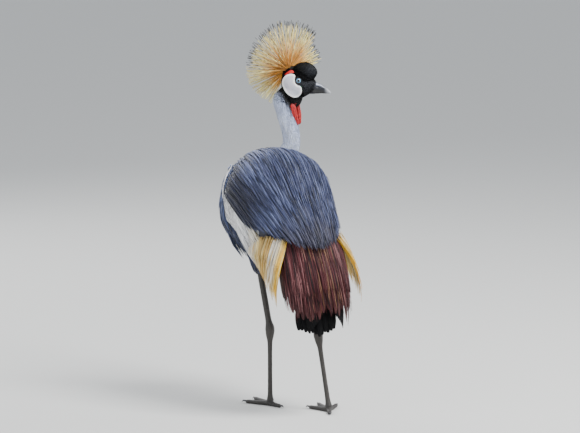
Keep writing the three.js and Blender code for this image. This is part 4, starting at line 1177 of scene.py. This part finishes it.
# A pale bluish stripe along the top of the bill, strongest towards its base: painted highlight
ridge_highlight = fade((u - centre_u) / np.maximum(size * 16, 1), 0.35, 0.8) * fade(f, 76, 40)
lower = fade(mouth - u, 0, 1.5)
colours = wash(tone(22, 24, 31), np.clip(0.9 * ridge_highlight, 0, 1), 130, 138, 160)
colours = wash(colours, lower * 0.85, 10, 10, 12)
colours = wash(colours, fade(f, 64, 79) * (1 - 0.3 * lower) * 0.85, 176, 178, 182)
# Near black in the mouth's groove and in the nostril: painted shade in these recesses
colours = wash(colours, np.clip(groove / 0.7 * 0.8 + nostril / 2.2, 0, 1), 14, 14, 16)
paint(beak, wash(colours, fade(f, 38, 30), 26, 26, 29))
finish_piece(beak, HORN, "horn", "bill_upper", "bill_lower")


# Wattle

def wattle_form(rows, across):
    return Form([[*head_point(*place), wide, deep] for *place, wide, deep in rows], across)


def lobe(side):
    # The far lobe hangs a little further forward, as the head is turned
    ahead = -1.5 if side > 0 else 9
    return wattle_form([
        [-9 + ahead, -54, side * 8, 0, 0], [-12 + ahead, -60, side * 10, 4.6, 7], [-11 + ahead, -70, side * 12, 5, 8],
        [-8 + ahead, -84, side * 12, 4.6, 7.4], [-3 + ahead * 0.7, -98, side * 10, 3.8, 6],
        [0.5 + ahead * 0.5, -109, side * 9, 2.6, 3.6], [1.5 + ahead * 0.4, -115, side * 8.5, 0, 0],
    ], RIGHT)


bridge = wattle_form([
    [-4, -54, -13, 0, 0], [-5, -58, -10, 4, 6], [-6, -59, 0, 4, 7], [-8, -58, 10, 4, 6], [-9, -54, 13, 0, 0],
], UP)
wattles = fused("wattles", [lobe(1).mesh(60, 40), lobe(-1).mesh(60, 40), bridge.mesh(30, 30)], 0.9, 3)
points = vertices(wattles)
f, u, r = on_axes(points)
out = unit(np.stack([f + 5, np.zeros_like(f), (np.abs(r) - 10) * np.sign(r) * 2], -1) @ HEAD_WAYS)
folds = np.sin(f * 1.25 + 0.09 * u + 1.4 * np.sin(u * 0.16)) * 0.5 + np.sin(u * 0.75 + np.sin(f * 0.6)) * 0.22
move_vertices(wattles, points + out * folds[:, None])
# Brighter red on the folds' crests and darker in their hollows: painted light and shade
paint(wattles, wash(tone(120, 0, 0), np.clip(0.5 + folds, 0, 1), 204, 3, 1))
finish_piece(wattles, FLESH, "red_skin", "wattle")


# Velvet of the face, forehead and throat

# Each area: its form and the part of its length, the gap between tufts, and their length, half width and lift
VELVET_AREAS = (
    (skull, (0.05, 0.95), 1.75, 4.2, 0.5, 0.7), (throat, (0.06, 0.98), 1.9, 5.0, 0.6, 0.9),
    (cushion, (0.03, 0.97), 1.35, 3.2, 0.42, 1.3), (pad_form, (0.03, 0.97), 1.7, 4.2, 0.5, 1.3),
)

velvet = Coat()
for form, t_range, gap, length, half, high in VELVET_AREAS:
    t, angle = scatter(form, t_range, (-180, 180), gap)
    points = form.point(t, angle)
    f, u, r = on_axes(points)
    flat = np.stack([f, u], -1)
    bare = inside(CHEEK, flat) | inside(CHEEK_CAP, flat) | (np.hypot(f - 2, u) < 8.3)
    under_bill = (np.hypot(r / 9.5, (u + 18) / 14) < 1) & (f > 31)
    keep = ~((bare & (np.abs(r) > 5)) | under_bill)
    t, angle = t[keep], angle[keep]
    places, ways = skin_at(points[keep])
    n = len(places)
    # Tufts lie back from the bill and down over the throat
    lie = unit(-FORWARD * 1.0 + UP * -0.35 + uniform(-0.3, 0.3, (n, 3)))
    lie = unit(square(lie, ways))
    share = np.linspace(0, 1, 4)[None, :, None]
    size = length * uniform(0.7, 1.3, (n, 1, 1))
    guide = places[:, None] + lie[:, None] * size * share + ways[:, None] * (share * high - 0.3 * (1 - share))
    up = np.broadcast_to(ways[:, None], guide.shape)
    velvet.feathers(guide, up, half * uniform(0.8, 1.2, n), HAIR, tone(4, 4, 5), (0.8, 1), (1.3, 1.9), (0.3, 0.3),
                    0.4, 0.3, place=np.stack([t, (angle % 360) / 360], -1))
velvet.piece("face_velvet", VELVET, "black_plumage")


# Crest

BRISTLE = [1.3, 1.0, 0.95, 0.9, 0.9, 0.9, 0.95, 0.8]
BRISTLES, SHORT_BRISTLES = 560, 900
GOLDEN_RATIO = 0.618034
crest = Coat()
i = np.arange(BRISTLES)
sideways = mix(-0.9, 0.9, (i + 0.5) / BRISTLES)
lean = mix(-150, 80, (i * GOLDEN_RATIO) % 1) + uniform(-3, 3, BRISTLES)
# Nothing crosses the cushion or the near cheek: there the fan stands behind them
ahead, low = fade(lean, 14, 50), fade(lean, -84, -108)
sideways = mix(sideways, -0.62 - 0.25 * np.abs(sideways), ahead)
sideways = mix(sideways, -0.35 + 0.45 * sideways, low)
level = np.sqrt(1 - sideways**2)
radians = np.radians(lean)
length = CREST_LENGTH * (0.87 + 0.16 * np.maximum(0, np.cos(radians))**2 - 0.0022 * np.maximum(0, -95 - lean))
length = length * uniform(0.955, 1.015, BRISTLES)
local = np.stack([level * np.sin(radians), level * np.cos(radians), sideways], -1)
way = local @ HEAD_WAYS
start = head_point(*CREST_ROOT) + 0.6 * (local * CREST_PAD) @ HEAD_WAYS
share = np.linspace(0, 1, 26)[None, :, None]
bend = square(random.normal(0, 1.0, (BRISTLES, 3)), way)
guide = start[:, None] + way[:, None] * length[:, None, None] * share + bend[:, None] * share**2
guide -= UP * (3 * np.abs(local[:, :1])[..., None] * share**2)
first = unit(np.cross(way, UP + 0.01))
second = np.cross(way, first)
turn = (uniform(0, 6.28, (BRISTLES, 1)) + share[..., 0] * uniform(8, 14, (BRISTLES, 1)))[..., None]
up = first[:, None] * np.cos(turn) + second[:, None] * np.sin(turn)
tint = mix(tone(236, 166, 66), tone(255, 232, 156), fade(share + uniform(-0.1, 0.1, (BRISTLES, 1, 1)), 0.25, 0.85))
tint = tint * random.choice([0.55, 0.85, 1.0, 1.12], (BRISTLES, 1, 1))
black = ((lean > -84) & (random.random(BRISTLES) < 0.93))[:, None, None] * fade(share, 0.885, 0.915)
tint = mix(tint, tone(16, 14, 12), black)
crest.add(guide, up, uniform(0.7, 0.95, BRISTLES), BRISTLE, tint, tint * 1.12, 0.4, 0.6)
# Short bristles and down round the pad
way = unit(random.normal(0, 1, (SHORT_BRISTLES, 3)))
f, u, r = way @ FORWARD, way @ UP, way @ RIGHT
way = way[((u > -0.35) | (f < -0.2)) & (r < 0.25) & (r > -0.7) & (f < 0.5)]
n = len(way)
start = head_point(*CREST_ROOT) + (way @ HEAD_WAYS.T * [14.5, 12.5, 11.5]) @ HEAD_WAYS
share = np.linspace(0, 1, 6)[None, :, None]
guide = start[:, None] + way[:, None] * uniform(4, 12, (n, 1, 1)) * share
up = np.broadcast_to(unit(np.cross(way, RIGHT + 0.1))[:, None], guide.shape)
tint = mix(tone(62, 40, 20), tone(206, 140, 46), fade(share, 0.1, 0.8)) * uniform(0.75, 1.2, (n, 1, 1))
crest.add(guide, up, uniform(0.5, 0.8, n), HAIR, tint, tint * 1.1, 0.4, 0.4)
crest.piece("crest_bristles", SILK, "crest_bristles", "crest")


# Legs and feet

def leg_forms(name):
    """The leg and each toe: its kind and form."""
    leg = LEGS[name]
    shin, ankle, foot = (np.array(leg[key], float) for key in ("shin", "ankle", "foot"))
    s, a, r = SHIN_RADIUS, ANKLE_RADIUS, TARSUS_RADIUS
    upper = [(-0.12, 0, 0), (-0.08, s * 0.9, s * 0.9), (0.5, s, s), (0.86, s, s * 1.1), (1, a * 0.92, a)]
    lower = [(0.09, a * 0.8, a * 0.9), (0.2, r, r * 1.15), (0.55, r * 0.9, r), (0.9, r, r * 1.1), (1, r * 1.3, r * 1.3),
             (1.04, 0, 0)]
    rows = [[*mix(shin, ankle, share), w, d] for share, w, d in upper]
    rows += [[*mix(ankle, foot, share), w, d] for share, w, d in lower]
    forms = [("leg", Form(rows))]
    for toe, (turn, length) in TOES.items():
        angle = math.radians(leg["turn"] - SIDES[name] * turn)
        way = np.array([math.sin(angle), -math.cos(angle), 0])
        root = np.array([foot[0], foot[1], TOE_RADIUS - 1.2])
        stations = [
            [*(root + [0, 0, up] + way * length * share), TOE_RADIUS * w, TOE_RADIUS * d]
            for share, up, w, d in (
                (-0.06, 1, 0, 0), (0.02, 1, 1.1, 1.05), (0.3, 0.2, 0.9, 0.95), (0.5, -0.4, 1, 0.9),
                (0.72, -0.6, 0.82, 0.85), (0.94, -0.8, 0.8, 0.75), (1, -0.8, 0, 0),
            )
        ]
        forms.append((toe, Form(stations, np.cross(UP, way))))
    return forms


SCUTE, TOE_SCUTE, LEG_CLAIM = 5.6, 4.2, 1.6
for name in SIDES:
    forms = leg_forms(name)
    foot = LEGS[name]["foot"]
    hub, hub_faces, _, _ = ball(np.array([foot[0], foot[1], 8.0]), TOE_RADIUS * 1.66, UP, 20, 28)
    meshes = [form.mesh(120 if kind == "leg" else 50, 40) for kind, form in forms] + [(hub, hub_faces)]
    limb = fused(f"leg_and_foot_{name}", meshes, 1.25, 3)
    points = vertices(limb)
    rise, pattern, best = np.zeros(len(points)), np.zeros(len(points)), np.full(len(points), 1e9)
    for kind, form in forms:
        is_leg = kind == "leg"
        tree = kd_tree(form.axis)
        j, distance = np.array([tree.find(Vector(point))[1:] for point in points]).T
        j = j.astype(int)
        reach = lengths_along(form.axis)[j]
        offset = unit(points - form.axis[j])
        front = -(offset * form.deep[j]).sum(-1) if is_leg else offset @ UP
        saw = (reach / (SCUTE if is_leg else TOE_SCUTE)) % 1.0
        plates = 0.42 * saw - 0.5 * np.exp(-(saw / 0.1)**2) - 0.5 * np.exp(-((1 - saw) / 0.1)**2)
        around = np.arctan2((offset * form.wide[j]).sum(-1), front)
        small = 0.22 * np.sin(reach * 2.1 + np.sin(around * 9)) * np.sin(around * 7 + reach * 0.6)
        relief = plates * fade(front, 0.15, 0.6) + small * fade(front, 0.5, 0.0)
        distance = distance / (LEG_CLAIM if is_leg else 1)
        nearer = distance < best
        best = np.where(nearer, distance, best)
        rise = np.where(nearer, relief, rise)
        pattern = np.where(nearer, np.clip(0.5 + relief, 0, 1), pattern)
    normals = np.zeros(len(points) * 3, np.float32)
    limb.data.vertices.foreach_get("normal", normals)
    points = points + normals.reshape(-1, 3) * (rise * 0.75)[:, None]
    points[:, 2] = np.maximum(points[:, 2], 0.0)
    move_vertices(limb, points)
    colours = wash(tone(22, 20, 20), pattern, 70, 64, 58)
    paint(limb, wash(colours, fade(points[:, 2], 40, 4) * 0.5, 52, 50, 50))
    finish_piece(limb, SCALES, "dark_leg", f"leg_{name}", f"foot_{name}")


# Claws: the solids' own, in horn

claw = Surface("claw_horn")
grain = claw.noise(180, 4, vector=claw.stretched((1, 1, 3)))
share = claw.remap(grain, 0.3, 0.7, 0, 1)
claw_horn = claw.finish({
    "Base Color": claw.blend("MIX", share, (0.012, 0.012, 0.014, 1), (0.06, 0.058, 0.06, 1)),
    "Roughness": claw.remap(grain, 0.3, 0.7, 0.3, 0.5), "Normal": claw.bump(grain, 0.3, 0.0003),
})
for name in SIDES:
    for toe in TOES:
        for held in bpy.data.objects[f"claw_{toe}_{name}"].material_slots:
            held.material = claw_horn
